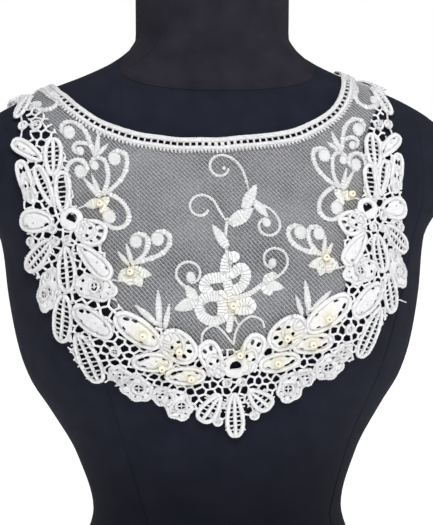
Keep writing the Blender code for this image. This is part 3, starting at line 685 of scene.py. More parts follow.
@dataclass
class Motif:
    """A small frame of real size about a motif's middle line, from its base to its tip.

    Attributes:
        surface: The form that the motif lies on.
        base: Its flat base.
        tip: Its flat tip.
        length: Its real length.
        middle: Its flat middle.
        shape: What turns a small flat step there into one of real size.
        axes: The directions along and beside its middle line.
    """

    surface: FormSurface
    base: Point
    tip: Point
    length: float = field(init=False)
    middle: np.ndarray = field(init=False)
    shape: np.ndarray = field(init=False)
    axes: np.ndarray = field(init=False)

    def __post_init__(self) -> None:
        """Measures the motif on the form."""
        base, tip = np.array(self.base, float), np.array(self.tip, float)
        self.middle = (base + tip) / 2
        self.shape = self.surface.stretch(self.middle)
        step = self.shape @ (tip - base)
        self.length = float(np.linalg.norm(step))
        cos, sin = step / max(self.length, 1e-6)
        self.axes = np.array([[cos, sin], [-sin, cos]])

    def flat(self, local: Sequence[Sequence[float]]) -> np.ndarray:
        """Flat points from places along and beside the motif's middle line, in real millimetres."""
        return np.asarray(local, float) @ self.axes @ np.linalg.inv(self.shape).T + self.middle


CORNER_STEPS = ((0, 0), (1, 0), (1, 1), (0, 1))
EDGE_STEPS = {4: (1, 0, 0), 5: (2, 1, 0), 6: (1, 0, 1), 7: (2, 0, 0)}
NOT_COVERED = -9.0
# How far the painted yellowish shadow round each bead reaches, as a squared distance on the flat.
BEAD_SHADOW_REACH_SQUARE = 60.0
CORD_SHARP_ANGLE = math.radians(58)
UV_SCALE = 0.01
NODES_AT_ONCE = 4000
SLIT = ((-1, 0), (-0.5, 0.9), (0.5, 1), (1, 0), (0.5, -1), (-0.5, -0.9))


def cell_shapes() -> dict[int, list[int]]:
    """How the cloth fills a cell, for each way that the cell's corners can lie inside it.

    Returns:
        For each case the corners, 0 to 3, and the crossed edges, 4 to 7, round the cloth.
    """
    shapes = {}
    for case in range(1, 16):
        walk = []
        for k in range(4):
            here, after = case >> k & 1, case >> (k + 1) % 4 & 1
            if here:
                walk.append(k)
            if here != after:
                walk.append(4 + k)
        shapes[case] = walk
    return shapes


@dataclass
class StitchGrid:
    """A fine grid over which threads, pads and holes are drawn before the cloth is cut out of it.

    Attributes:
        low: The grid's lowest corner.
        high: The grid's highest corner.
        cell: The grid's spacing.
        stretch: What turns a small step near a place into one of real size.
    """

    low: tuple[float, float]
    high: tuple[float, float]
    cell: float
    stretch: Callable[[np.ndarray], np.ndarray]

    def __post_init__(self) -> None:
        """Lays out an empty grid."""
        self.x = np.arange(self.low[0], self.high[0] + self.cell, self.cell)
        self.y = np.arange(self.low[1], self.high[1] + self.cell, self.cell)
        shape = (len(self.x), len(self.y))
        self.cover = np.full(shape, NOT_COVERED)
        self.claimed = np.full(shape, NOT_COVERED)
        self.relief = np.zeros(shape)
        self.along = np.zeros(shape)

    def window(self, points: np.ndarray, reach: float) -> tuple[tuple[slice, slice], np.ndarray]:
        """The part of the grid within reach of some points, and its nodes."""
        slices = []
        for axis, places in enumerate((self.x, self.y)):
            first = np.searchsorted(places, points[:, axis].min() - reach)
            last = np.searchsorted(places, points[:, axis].max() + reach)
            slices.append(slice(first, last))
        x, y = np.meshgrid(self.x[slices[0]], self.y[slices[1]], indexing="ij")
        return tuple(slices), np.column_stack([x.ravel(), y.ravel()])

    def depths(
        self, outline: np.ndarray, reach: float
    ) -> tuple[tuple[slice, slice], np.ndarray, np.ndarray]:
        """The part of the grid round a closed outline, its nodes in real size, and how deep each lies."""
        part, nodes = self.window(outline, reach)
        shape = self.stretch(outline.mean(0))
        nodes = nodes @ shape.T
        return part, nodes, depth_in(outline @ shape.T, nodes)

    def raise_to(
        self, part: tuple[slice, slice], cover: np.ndarray, relief: np.ndarray, along: np.ndarray
    ) -> None:
        """Adds cloth to part of the grid.

        Args:
            part: The part, as a slice along each axis.
            cover: How deep each node lies inside the cloth, negative outside it.
            relief: How high the cloth stands there.
            along: How far along its thread each node lies.
        """
        shape = self.cover[part].shape
        cover, relief, along = (values.reshape(shape) for values in (cover, relief, along))
        relief = np.where(cover > 0, relief, 0)
        higher = relief > self.relief[part]
        self.cover[part] = np.maximum(self.cover[part], cover)
        self.along[part] = np.where(higher, along, self.along[part])
        self.relief[part] = np.maximum(self.relief[part], relief)

    def stroke(
        self, line: np.ndarray, half: object, height: float, teeth: float = 0.0, pitch: float = 1.7
    ) -> None:
        """Draws a thread or a satin stroke.

        Args:
            line: The stroke's middle line, a row for each point.
            half: Its half width in real millimetres, one number or one for each point.
            height: How high its middle stands.
            teeth: How far its stitched edge goes in and out.
            pitch: The spacing of those teeth.
        """
        line = np.asarray(line, float)
        half = np.broadcast_to(np.asarray(half, float), len(line))
        part, nodes = self.window(line, half.max() + teeth + 2 * self.cell)
        shape = self.stretch(line.mean(0))
        nodes, path = nodes @ shape.T, line @ shape.T
        start, step = path[:-1], np.diff(path, axis=0)
        lengths = np.maximum(np.linalg.norm(step, axis=1), 1e-6)
        travelled = np.concatenate([[0], np.cumsum(lengths)])[:-1]
        best = np.full(len(nodes), NOT_COVERED)
        share, along = np.zeros(len(nodes)), np.zeros(len(nodes))
        for i in range(len(step)):
            to_node = nodes - start[i]
            t = np.clip(to_node @ step[i] / lengths[i] ** 2, 0, 1)
            gap = np.linalg.norm(to_node - t[:, None] * step[i], axis=1)
            s = travelled[i] + t * lengths[i]
            wide = half[i] * (1 - t) + half[i + 1] * t + teeth * np.sin(s * math.tau / pitch)
            room = wide - gap
            better = room > best
            best = np.where(better, room, best)
            share = np.where(better, room / np.maximum(wide, 0.1), share)
            along = np.where(better, s, along)
        self.raise_to(part, best, height * dome(share), along)

    def pad(
        self, outline: np.ndarray, height: float, crown: float, axes: Optional[np.ndarray] = None
    ) -> None:
        """Draws a filled shape.

        Args:
            outline: Its closed outline.
            height: How high it stands.
            crown: How far in from its rim it rises to that height.
            axes: The motif's axes, if its stitches follow them.
        """
        part, nodes, depth = self.depths(outline, 3 * self.cell)
        axes = np.eye(2) if axes is None else axes
        self.raise_to(part, depth, height * dome(depth / crown), nodes @ axes[0])

    def claim(self, outline: np.ndarray) -> None:
        """Marks a motif's outline, so that the bar net stays out of it."""
        part, _, depth = self.depths(outline, 3 * self.cell)
        self.claimed[part] = np.maximum(self.claimed[part], depth.reshape(self.claimed[part].shape))

    def cut(self, outline: np.ndarray, round_over: float = 0.8) -> None:
        """Cuts a hole with rounded lips.

        Args:
            outline: The hole's closed outline.
            round_over: How far from the hole its lip is rounded.
        """
        part, _, depth = self.depths(outline, 2 + 3 * self.cell)
        clear = -depth.reshape(self.cover[part].shape)
        self.cover[part] = np.minimum(self.cover[part], clear)
        lip = np.where(clear > round_over, np.inf, 1.6 * dome(clear / round_over))
        self.relief[part] = np.minimum(self.relief[part], lip)

    def bars(
        self, ground: np.ndarray, pitch: float, half: float, height: float, seed: int, inset: float
    ) -> None:
        """Fills what no motif claims with an uneven net of worked bars.

        Args:
            ground: The outline inside which the bars lie.
            pitch: The spacing of the gaps between them.
            half: The bars' half width.
            height: How high they stand.
            seed: Starts the uneven placing of the gaps.
            inset: How far the bars run into the motifs.
        """
        part, nodes = self.window(ground, 1)
        free = self.claimed[part].ravel() < inset
        chosen = np.flatnonzero(free)
        chosen = chosen[inside(ground, nodes[chosen])]
        random = np.random.default_rng(seed)
        low, high = ground.min(0) - pitch, ground.max(0) + pitch
        rows = np.arange(low[1], high[1], pitch * 0.866)
        seeds = np.array([
            (across + pitch / 2 * (row % 2), up)
            for row, up in enumerate(rows)
            for across in np.arange(low[0], high[0], pitch)
        ])
        seeds = seeds + random.uniform(-0.27, 0.27, seeds.shape) * pitch
        cover = np.full(len(nodes), NOT_COVERED)
        for first in range(0, len(chosen), NODES_AT_ONCE):
            some = chosen[first : first + NODES_AT_ONCE]
            here = nodes[some]
            low, high = here.min(0) - 2 * pitch, here.max(0) + 2 * pitch
            near = seeds[np.all((seeds > low) & (seeds < high), axis=1)]
            square = ((here[:, None] - near[None]) ** 2).sum(-1)
            two = np.argpartition(square, 1, axis=1)[:, :2]
            near_square = np.take_along_axis(square, two, 1)
            apart = np.linalg.norm(near[two[:, 0]] - near[two[:, 1]], axis=1)
            gap = np.abs(near_square[:, 1] - near_square[:, 0]) / (2 * np.maximum(apart, 0.1))
            cover[some] = np.minimum(half - gap, inset - self.claimed[part].ravel()[some])
        self.raise_to(part, cover, height * dome(cover / half), nodes @ (0.7, 0.7))

    def roughen(self, seed: int, edge: float, top: float) -> None:
        """Gives the stitches an uneven edge and top, as soft cotton has.

        Args:
            seed: Starts the uneven numbers.
            edge: How far an edge goes in or out.
            top: How far a top goes up or down.
        """
        random = np.random.default_rng(seed)
        noise = random.uniform(-1, 1, self.cover.shape)
        soft = noise + np.roll(noise, 1, 0) + np.roll(noise, 1, 1) + np.roll(noise, (1, 1), (0, 1))
        inside_it = self.cover > 0
        self.cover = np.where(np.abs(self.cover) < 1, self.cover + edge * soft / 2, self.cover)
        self.relief = np.where(inside_it, np.maximum(self.relief + top * soft / 2, 0), 0)

    def cut_out(self, chosen: Optional[Callable[[np.ndarray], np.ndarray]] = None) -> "FlatCloth":
        """The cloth's flat mesh, with a clean edge wherever the cover ends.

        Args:
            chosen: Says which cells belong to this piece, from the middles of the cells.

        Returns:
            The flat cloth.
        """
        least = 0.12 * self.cell
        cover = np.where(np.abs(self.cover) < least, np.where(self.cover < 0, -least, least), self.cover)
        cover = np.clip(cover, -self.cell, 4.0)
        nx, ny = cover.shape
        solid = cover > 0
        corners = [solid[dx : nx - 1 + dx, dy : ny - 1 + dy].astype(int) for dx, dy in CORNER_STEPS]
        case = sum(corner << k for k, corner in enumerate(corners))
        if chosen is not None:
            x, y = np.meshgrid(self.x[:-1] + self.cell / 2, self.y[:-1] + self.cell / 2, indexing="ij")
            case = np.where(chosen(np.column_stack([x.ravel(), y.ravel()])).reshape(case.shape), case, 0)
        triangles = []
        for kind, walk in cell_shapes().items():
            i, j = np.nonzero(case == kind)
            ids = []
            for k in walk:
                if k < 4:
                    dx, dy = CORNER_STEPS[k]
                    ids.append((i + dx) * ny + j + dy)
                else:
                    layer, dx, dy = EDGE_STEPS[k]
                    ids.append(layer * nx * ny + (i + dx) * ny + j + dy)
            for a in range(1, len(ids) - 1):
                triangles.append(np.column_stack([ids[0], ids[a], ids[a + 1]]))
        triangles = np.vstack(triangles)
        used, triangles = np.unique(triangles, return_inverse=True)
        triangles = triangles.reshape(-1, 3)
        kind, rest = np.divmod(used, nx * ny)
        i, j = np.divmod(rest, ny)
        after_i = np.minimum(i + (kind == 1), nx - 1)
        after_j = np.minimum(j + (kind == 2), ny - 1)
        here, after = cover[i, j], cover[after_i, after_j]
        t = np.where(kind > 0, here / np.where(kind > 0, here - after, 1), 0)
        across = self.x[i] + t * self.cell * (kind == 1)
        flat = np.column_stack([across, self.y[j] + t * self.cell * (kind == 2)])
        relief = np.where(kind > 0, 0.0, self.relief[i, j])
        nearer = np.where((here > 0) | (kind == 0), self.along[i, j], self.along[after_i, after_j])
        return FlatCloth(flat, triangles, relief, nearer)


def rim_edges(triangles: np.ndarray) -> np.ndarray:
    """The directed edges that only one triangle has, a row each."""
    edges = np.concatenate([triangles[:, [0, 1]], triangles[:, [1, 2]], triangles[:, [2, 0]]])
    edges = edges.astype(np.int64)
    count = int(triangles.max()) + 1
    forward, backward = edges[:, 0] * count + edges[:, 1], edges[:, 1] * count + edges[:, 0]
    return edges[~np.isin(forward, backward)]


@dataclass
class FlatCloth:
    """A cut piece of cloth before it is laid on the form.

    Attributes:
        flat: Its flat points, a row each.
        triangles: Its triangles.
        relief: How high each point stands.
        along: How far along its thread each point lies.
    """

    flat: np.ndarray
    triangles: np.ndarray
    relief: np.ndarray
    along: np.ndarray

    def laid(
        self, name: str, place: Place, clear: float, thick: float, material: bpy.types.Material
    ) -> bpy.types.Object:
        """The cloth as a closed wall on the form.

        Args:
            name: The piece's name.
            place: Lays flat points on the form.
            clear: How far the inner side stands from the form.
            thick: The wall's thickness at its edge.
            material: Its finish.

        Returns:
            The finished piece.
        """
        count = len(self.flat)
        outer = place(self.flat, clear + thick + self.relief)
        inner = place(self.flat, clear)
        rim = rim_edges(self.triangles)
        a, b = rim[:, 0], rim[:, 1]
        walls = np.vstack([np.column_stack([b, a, a + count]), np.column_stack([b, a + count, b + count])])
        triangles = np.vstack([self.triangles, self.triangles[:, ::-1] + count, walls])
        flat = np.vstack([self.flat, self.flat])
        # Painted shadow: how near each point lies to a bead, which the cotton and tulle finishes turn into
        # a yellowish shadow there.
        away = [((self.flat - np.array(bead)) ** 2).sum(1) for bead in (*NET_BEADS, *BORDER_BEADS)]
        bead_shadow_weight = sum(np.exp(-square / BEAD_SHADOW_REACH_SQUARE) for square in away)
        values = {"stitch": np.tile(self.along, 2), "warm": np.tile(np.clip(bead_shadow_weight, 0, 1), 2)}
        piece = new_piece(name, np.vstack([outer, inner]), triangles, flat, values)
        piece.data.materials.append(material)
        piece.data.shade_smooth()
        piece.data.set_sharp_from_angle(angle=CORD_SHARP_ANGLE)
        return piece


def new_piece(
    name: str, points: np.ndarray, triangles: np.ndarray, flat: np.ndarray, values: dict[str, np.ndarray]
) -> bpy.types.Object:
    """A new object of loose data.

    Args:
        name: Its name.
        points: Its points in millimetres.
        triangles: Its triangles.
        flat: Each point's flat place, for the UV map.
        values: Named numbers, one for each point.

    Returns:
        The object.
    """
    mesh = bpy.data.meshes.new(name)
    mesh.vertices.add(len(points))
    mesh.vertices.foreach_set("co", (points * MM).astype(np.float32).ravel())
    mesh.loops.add(triangles.size)
    mesh.loops.foreach_set("vertex_index", triangles.astype(np.int32).ravel())
    mesh.polygons.add(len(triangles))
    mesh.polygons.foreach_set("loop_start", np.arange(0, triangles.size, 3, dtype=np.int32))
    mesh.update(calc_edges=True)
    uv = mesh.uv_layers.new(name="flat")
    uv.data.foreach_set("uv", (flat[triangles.ravel()] * UV_SCALE).astype(np.float32).ravel())
    for label, numbers in values.items():
        attribute = mesh.attributes.new(label, "FLOAT", "POINT")
        attribute.data.foreach_set("value", numbers.astype(np.float32))
    mesh.validate()
    piece = bpy.data.objects.new(name, mesh)
    bpy.context.scene.collection.objects.link(piece)
    return piece


class Nodes:
    """Short ways to wire a material's nodes."""

    def __init__(self, name: str) -> None:
        """Starts a material with a Principled shader."""
        self.material = bpy.data.materials.new(name)
        self.material.use_nodes = True
        self.tree = self.material.node_tree
        self.shader = self.tree.nodes["Principled BSDF"]

    def add(self, kind: str, inputs: Optional[dict] = None, **settings: object) -> bpy.types.Node:
        """Adds a node, sets it and fills its inputs with values or other nodes' outputs."""
        node = self.tree.nodes.new(kind)
        for key, value in settings.items():
            setattr(node, key, value)
        for key, value in (inputs or {}).items():
            if isinstance(value, bpy.types.NodeSocket):
                self.tree.links.new(value, node.inputs[key])
            else:
                node.inputs[key].default_value = value
        return node

    def math(
        self, operation: str, first: object, second: object = 0.0, third: float = 0.0
    ) -> bpy.types.NodeSocket:
        """One step of arithmetic."""
        return self.add("ShaderNodeMath", {0: first, 1: second, 2: third}, operation=operation).outputs[0]

    def ramp(
        self, value: bpy.types.NodeSocket, low: float, high: float,
        start: float = 0.0, end: float = 1.0, shape: str = "LINEAR",
    ) -> bpy.types.NodeSocket:
        """A ramp that is held beyond its ends.

        Args:
            value: What the ramp reads.
            low: Where it starts.
            high: Where it ends.
            start: Its result at the start.
            end: Its result at the end.
            shape: Blender's name for how it runs between them.

        Returns:
            The result's socket.
        """
        inputs = {"Value": value, "From Min": low, "From Max": high, "To Min": start, "To Max": end}
        return self.add("ShaderNodeMapRange", inputs, interpolation_type=shape).outputs["Result"]

    def mix(self, share: object, first: object, second: object) -> bpy.types.NodeSocket:
        """A mix of two colours."""
        node = self.add("ShaderNodeMix", {"Factor": share}, data_type="RGBA")
        for key, value in (("A", first), ("B", second)):
            socket = [s for s in node.inputs if s.name == key and s.type == "RGBA"][0]
            if isinstance(value, bpy.types.NodeSocket):
                self.tree.links.new(value, socket)
            else:
                socket.default_value = value
        return [s for s in node.outputs if s.type == "RGBA"][0]

    def place(self) -> bpy.types.NodeSocket:
        """The object's own coordinates."""
        return self.add("ShaderNodeTexCoord").outputs["Object"]

    def noise(self, scale: float, detail: float = 3.0) -> bpy.types.NodeSocket:
        """Noise over the object's own coordinates."""
        inputs = {"Vector": self.place(), "Scale": scale, "Detail": detail}
        return self.add("ShaderNodeTexNoise", inputs).outputs["Fac"]

    def attribute(self, name: str) -> bpy.types.NodeSocket:
        """A named number that the mesh holds on its points."""
        return self.add("ShaderNodeAttribute", attribute_name=name).outputs["Fac"]

    def bump(self, height: bpy.types.NodeSocket, depth: float) -> None:
        """Wires a bump of a real depth in metres."""
        node = self.add("ShaderNodeBump", {"Height": height, "Distance": depth, "Strength": 1.0})
        self.tree.links.new(node.outputs["Normal"], self.shader.inputs["Normal"])

    def put(self, **values: object) -> None:
        """Sets the shader's own sockets, named with underscores for spaces."""
        for key, value in values.items():
            socket = self.shader.inputs[key.replace("_", " ")]
            if isinstance(value, bpy.types.NodeSocket):
                self.tree.links.new(value, socket)
            else:
                socket.default_value = value


@dataclass(frozen=True)
class CottonStitch:
    """Raised cotton stitches: thread ridges across each cord, a soft sheen, painted shade between the
    ridges and tufts, and a painted yellowish shadow round the beads.

    Attributes:
        name: The material's name.
        colour: The colour of the ridges.
        shade: The painted shade between them, where the ridges and tufts are low.
        warm: The colour of the painted yellowish shadow round the beads.
        ridge: The ridges' spacing in millimetres.
        depth: Their depth in metres.
        bead_shadow_strength: How strong the painted yellowish shadow round the beads is.
    """

    name: str
    colour: Colour = (0.95, 0.94, 0.955, 1)
    shade: Colour = (0.79, 0.79, 0.805, 1)
    warm: Colour = (0.84, 0.82, 0.66, 1)
    ridge: float = 0.8
    depth: float = 0.0003
    bead_shadow_strength: float = 0.8

    def build(self) -> bpy.types.Material:
        """Makes the material."""
        nodes = Nodes(self.name)
        wobble = nodes.math("MULTIPLY", nodes.noise(420.0), 1.6)
        travelled = nodes.math("MULTIPLY", nodes.attribute("stitch"), math.tau / self.ridge)
        wave = nodes.math("SINE", nodes.math("ADD", travelled, wobble))
        ridges = nodes.math("MULTIPLY_ADD", wave, 0.5, 0.5)
        tufts = nodes.ramp(nodes.noise(750.0, 4.0), 0.34, 0.66)
        fuzz = nodes.noise(2600.0, 2.0)
        height = nodes.math("ADD", nodes.math("ADD", ridges, tufts), nodes.math("MULTIPLY", fuzz, 0.7))
        patch = nodes.ramp(nodes.noise(130.0, 2.0), 0.3, 0.7)
        # Painted shade: the colour is darker where the ridges and tufts are low, as in their valleys; the
        # large patches add a random mottle.
        valley_shade = nodes.math("ADD", nodes.math("MULTIPLY", ridges, 0.2), nodes.math("MULTIPLY", tufts, 0.55))
        valley_shade_and_mottle = nodes.math("ADD", valley_shade, nodes.math("MULTIPLY", patch, 0.3))
        base = nodes.mix(valley_shade_and_mottle, self.shade, self.colour)
        # Painted shadow: a darker yellowish tint round each bead, by how near it lies.
        near = nodes.math("MULTIPLY", nodes.attribute("warm"), self.bead_shadow_strength)
        nodes.put(
            Base_Color=nodes.mix(near, base, self.warm),
            Roughness=0.75, Specular_IOR_Level=0.25, Sheen_Weight=0.2, Sheen_Roughness=0.5,
        )
        nodes.bump(height, self.depth)
        return nodes.material


@dataclass(frozen=True)
class FineTulle:
    """The net's fine ground: a see-through film of hexagon mesh too fine to count.

    Attributes:
        name: The material's name.
        colour: The threads' colour.
        bead_shadow_colour: Their colour in the painted yellowish shadow round the beads.
        mesh_pitch: The mesh's spacing in millimetres.
        least: How much cloth shows in the middle of a mesh.
        most: How much shows on its threads.
        uneven: How much that varies over the panel.
    """

    name: str
    colour: Colour = (0.74, 0.75, 0.79, 1)
    bead_shadow_colour: Colour = (0.78, 0.76, 0.56, 1)
    mesh_pitch: float = 0.9
    least: float = 0.03
    most: float = 0.2
    uneven: float = 0.18

    def build(self) -> bpy.types.Material:
        """Makes the material."""
        nodes = Nodes(self.name)
        uv = nodes.add("ShaderNodeUVMap", uv_map="flat").outputs["UV"]
        inputs = {"Vector": uv, "Scale": 1 / (UV_SCALE * self.mesh_pitch), "Randomness": 0.2}
        cells = nodes.add("ShaderNodeTexVoronoi", inputs, feature="DISTANCE_TO_EDGE").outputs["Distance"]
        thread = nodes.ramp(cells, 0.06, 0.22, self.most, self.least)
        cloud = nodes.math("MULTIPLY_ADD", nodes.noise(28.0, 2.0), self.uneven, -self.uneven / 2)
        # Painted shadow: the threads take a yellowish tint near the beads.
        tone = nodes.mix(nodes.attribute("warm"), self.colour, self.bead_shadow_colour)
        nodes.put(Base_Color=tone, Roughness=0.8, Alpha=nodes.math("ADD", thread, cloud))
        nodes.bump(nodes.noise(1800.0), 0.00004)
        nodes.material.surface_render_method = "DITHERED"
        return nodes.material


@dataclass(frozen=True)
class NetThread:
    """The net's twisted threads."""

    name: str
    colour: Colour = (0.52, 0.52, 0.53, 1)
    shade: Colour = (0.41, 0.41, 0.42, 1)

    def build(self) -> bpy.types.Material:
        """Makes the material."""
        nodes = Nodes(self.name)
        tone = nodes.mix(nodes.noise(160.0), self.shade, self.colour)
        nodes.put(Base_Color=tone, Roughness=0.8, Sheen_Weight=0.2)
        nodes.bump(nodes.noise(3000.0), 0.00005)
        return nodes.material


@dataclass(frozen=True)
class FormCloth:
    """The dress form's matt cover: a fine weave with a little colour drift, and painted shade that makes it
    darker below the bust.

    Attributes:
        name: The material's name.
        light: The lighter colour of the drift.
        dark: The darker one.
        weave: The weave's spacing in metres.
        slub: How fine the drift is.
        painted_shade_deepest_at: The height in metres where the painted shade is deepest.
        painted_shade_ends_at: The height from which the painted shade ends and the cover has its full
            colour.
        least: The share of the full colour that the painted shade leaves where it is deepest.
    """

    name: str
    light: Colour
    dark: Colour
    weave: float = 0.0007
    slub: float = 55.0
    painted_shade_deepest_at: float = 0.185
    painted_shade_ends_at: float = 0.285
    least: float = 0.36

    def build(self) -> bpy.types.Material:
        """Makes the material."""
        nodes = Nodes(self.name)
        axes = nodes.add("ShaderNodeSeparateXYZ", {"Vector": nodes.place()}).outputs
        turn = math.tau / self.weave
        courses = nodes.math("SINE", nodes.math("MULTIPLY", axes["Z"], turn))
        wales = nodes.math("SINE", nodes.math("MULTIPLY", nodes.math("ADD", axes["X"], axes["Y"]), turn))
        woven = nodes.math("MULTIPLY", courses, wales)
        grain = nodes.math("MULTIPLY", nodes.noise(1500.0), 0.3)
        drift = nodes.math("ADD", nodes.noise(self.slub, 5.0), grain)
        spread = nodes.ramp(drift, 0.4, 0.95)
        # Painted shade: the cover's colour is darkened towards the bottom, by height alone.
        lift = nodes.ramp(axes["Z"], self.painted_shade_deepest_at, self.painted_shade_ends_at, self.least, 1.0, "SMOOTHSTEP")
        deep = tuple(part * 0.2 for part in self.dark[:3]) + (1,)
        nodes.put(
            Base_Color=nodes.mix(lift, deep, nodes.mix(spread, self.dark, self.light)),
            Roughness=0.9, Specular_IOR_Level=0.06, Sheen_Weight=0.02, Sheen_Roughness=0.6,
        )
        nodes.bump(nodes.math("ADD", woven, nodes.noise(900.0)), 0.00006)
        return nodes.material


@dataclass(frozen=True)
class PearlCoat:
    """A pearlescent bead, darker in its bore, with painted shade towards its rim as seen from the camera.
    """

    name: str
    pearl: Colour = (0.94, 0.9, 0.78, 1)
    painted_rim_shade: Colour = (0.55, 0.43, 0.2, 1)
    cloud: Colour = (0.85, 0.76, 0.6, 1)
    bore: Colour = (0.36, 0.24, 0.08, 1)

    def build(self) -> bpy.types.Material:
        """Makes the material."""
        nodes = Nodes(self.name)
        # Painted shade: the colour turns a darker brown towards the bead's rim, by how far the surface
        # faces away from the camera.
        facing = nodes.add("ShaderNodeLayerWeight", {"Blend": 0.5}).outputs["Facing"]
        body = nodes.mix(facing, self.pearl, self.painted_rim_shade)
        tone = nodes.mix(nodes.math("MULTIPLY", nodes.noise(500.0), 0.3), body, self.cloud)
        tone = nodes.mix(nodes.attribute("bore"), tone, self.bore)
        nodes.put(
            Base_Color=tone, Roughness=0.16, Coat_Weight=0.8, Coat_Roughness=0.06, Sheen_Weight=0.1,
            Specular_IOR_Level=0.6,
        )
        nodes.bump(nodes.noise(700.0), 0.00002)
        return nodes.material


@dataclass
class GuipureBorder:
    """The heavy border: cord-rimmed petals, rings, rosettes and an uneven net of bars.

    Attributes:
        surface: The form that it lies on.
        cell: The stitch grid's spacing in millimetres.
        clear: How far its underside stands off the form.
        thick: The ground's thickness.
        rim: Half the width of a petal's rim cord.
        rim_height: How far that cord stands up.
        bar: Half the width of a petal's middle bar.
        tie_step: The spacing of the ties across a ladder petal.
        gap_pitch: The mean spacing of the ground's gaps.
        ring_shift: How far a ring's middle lies to the left of its named place.
        split: How far from the middle the border is parted into pieces.
    """

    surface: FormSurface
    cell: float
    clear: float = 2.7
    thick: float = 0.55
    rim: float = 1.5
    rim_height: float = 1.25
    bar: float = 1.3
    tie_step: float = 3.5
    gap_pitch: float = 6.4
    ring_shift: tuple[float, float] = (-0.5, 0)
    split: float = 62.0

    def outline(self, petal: Petal, inset: float = 0.0, count: int = 40) -> np.ndarray:
        """A petal's flat outline, moved in by an inset."""
        motif = Motif(self.surface, petal.base, petal.tip)
        turn = np.linspace(0, math.tau, count, endpoint=False)
        along = -np.cos(turn)
        half = petal.width / 2 * (1 - petal.taper * (1 - along) / 2)
        beside = np.sign(np.sin(turn)) * np.abs(np.sin(turn)) ** 0.8 * np.maximum(half - inset, 0.3)
        lobes = 1 + (0.075 * np.cos(turn * 6) if petal.fill is Fill.SEED else 0 * turn)
        return motif.flat(np.column_stack([along * (motif.length / 2 - inset), beside]) * lobes[:, None])

    def loop(
        self, grid: StitchGrid, line: np.ndarray, half: float, height: float, teeth: float = 0.0
    ) -> None:
        """A cord round a closed line."""
        grid.stroke(np.vstack([line, line[:1]]), half, height, teeth)

    def slots(self, grid: StitchGrid, motif: Motif, places: Sequence[Sequence[float]]) -> None:
        """Cuts slender slits: along, beside, heading in degrees, half length and half width of each."""
        for along, beside, heading, long, wide in places:
            cos, sin = math.cos(math.radians(heading)), math.sin(math.radians(heading))
            shape = np.array(SLIT) * (long, wide)
            grid.cut(motif.flat(shape @ np.array([[cos, sin], [-sin, cos]]) + (along, beside)), 0.45)

    def ladder(self, grid: StitchGrid, petal: Petal, motif: Motif) -> None:
        """Open slits beside a middle bar, with ties across them."""
        ends = motif.length / 2 - self.rim
        if petal.rows == 2:
            line = [(-ends, 0), (-ends * 0.3, 0), (ends - 2.2, 0)]
            grid.stroke(motif.flat(line), [self.bar * 0.7, self.bar, self.bar], 1.25, 0.12)
        else:
            side = petal.width / 2 - 2 * self.rim - self.bar * 0.5
            line = [(-ends, -side * 0.4), (0, -side), (ends * 0.8, -side * 0.7)]
            grid.stroke(motif.flat(line), self.bar, 1.2, 0.12)
        for n, along in enumerate(np.arange(-ends + 3.0, ends - 2.4, self.tie_step)):
            reach = petal.width / 2 - self.rim
            lean = 0.5 if n % 2 else -0.4
            grid.stroke(motif.flat([(along - lean, -reach), (along + lean, reach)]), 0.5, 0.5)

    def satin(self, grid: StitchGrid, petal: Petal, motif: Motif) -> None:
        """A raised pad inside the rim, with open slits at one end and pin slits at the other."""
        grid.pad(self.outline(petal, self.rim), 0.25, 0.5, motif.axes)
        inner = self.outline(petal, 2 * self.rim + 0.5)
        grid.pad(inner, 1.3, min(petal.width / 4, 2.4), motif.axes)
        ends = motif.length / 2 - 2 * self.rim
        edge = petal.width / 2 - 2 * self.rim + 0.1
        self.slots(grid, motif, (
            (-ends * 0.72, edge * 0.35, 28, 2.6, 1.3),
            (-ends * 0.38, edge * 0.72, 18, 2.4, 1.15),
            (-ends * 0.55, -edge * 0.66, -22, 2.0, 0.85),
            (ends * 0.2, edge * 0.2, 8, 0.9, 0.4),
            (ends * 0.42, -edge * 0.8, 12, 1.5, 0.55),
            (ends * 0.68, edge * 0.48, -24, 1.6, 0.6),
        ))

    def seed(self, grid: StitchGrid, petal: Petal, motif: Motif) -> None:
        """A thin lobed ground, worked round a rosette with slots and pinholes."""
        grid.pad(self.outline(petal, 0.6), 0.55, 1.0, motif.axes)
        middle = motif.length * 0.06
        turn = np.linspace(0, math.tau, 25)
        ring = np.column_stack([middle + 4.6 * np.cos(turn), 4.3 * np.sin(turn)])
        grid.stroke(motif.flat(ring), 0.75, 1.0)
        places = [(-motif.length * 0.3, way * petal.width * 0.17, way * 12, 1.7, 1.05) for way in (-1, 1)]
        for k in range(5):
            turn = math.tau * (k + 0.3) / 5
            along, beside = middle + 2.7 * math.cos(turn), 2.5 * math.sin(turn)
            places.append((along, beside, math.degrees(turn) + 90, 1.25, 1.05))
        for k in range(9):
            turn = math.tau * (k + 0.5) / 9
            along, beside = motif.length * 0.35 * math.cos(turn), petal.width * 0.35 * math.sin(turn)
            if along > -motif.length * 0.2:
                places.append((along, beside, math.degrees(turn), 1.0, 0.62))
        self.slots(grid, motif, places)

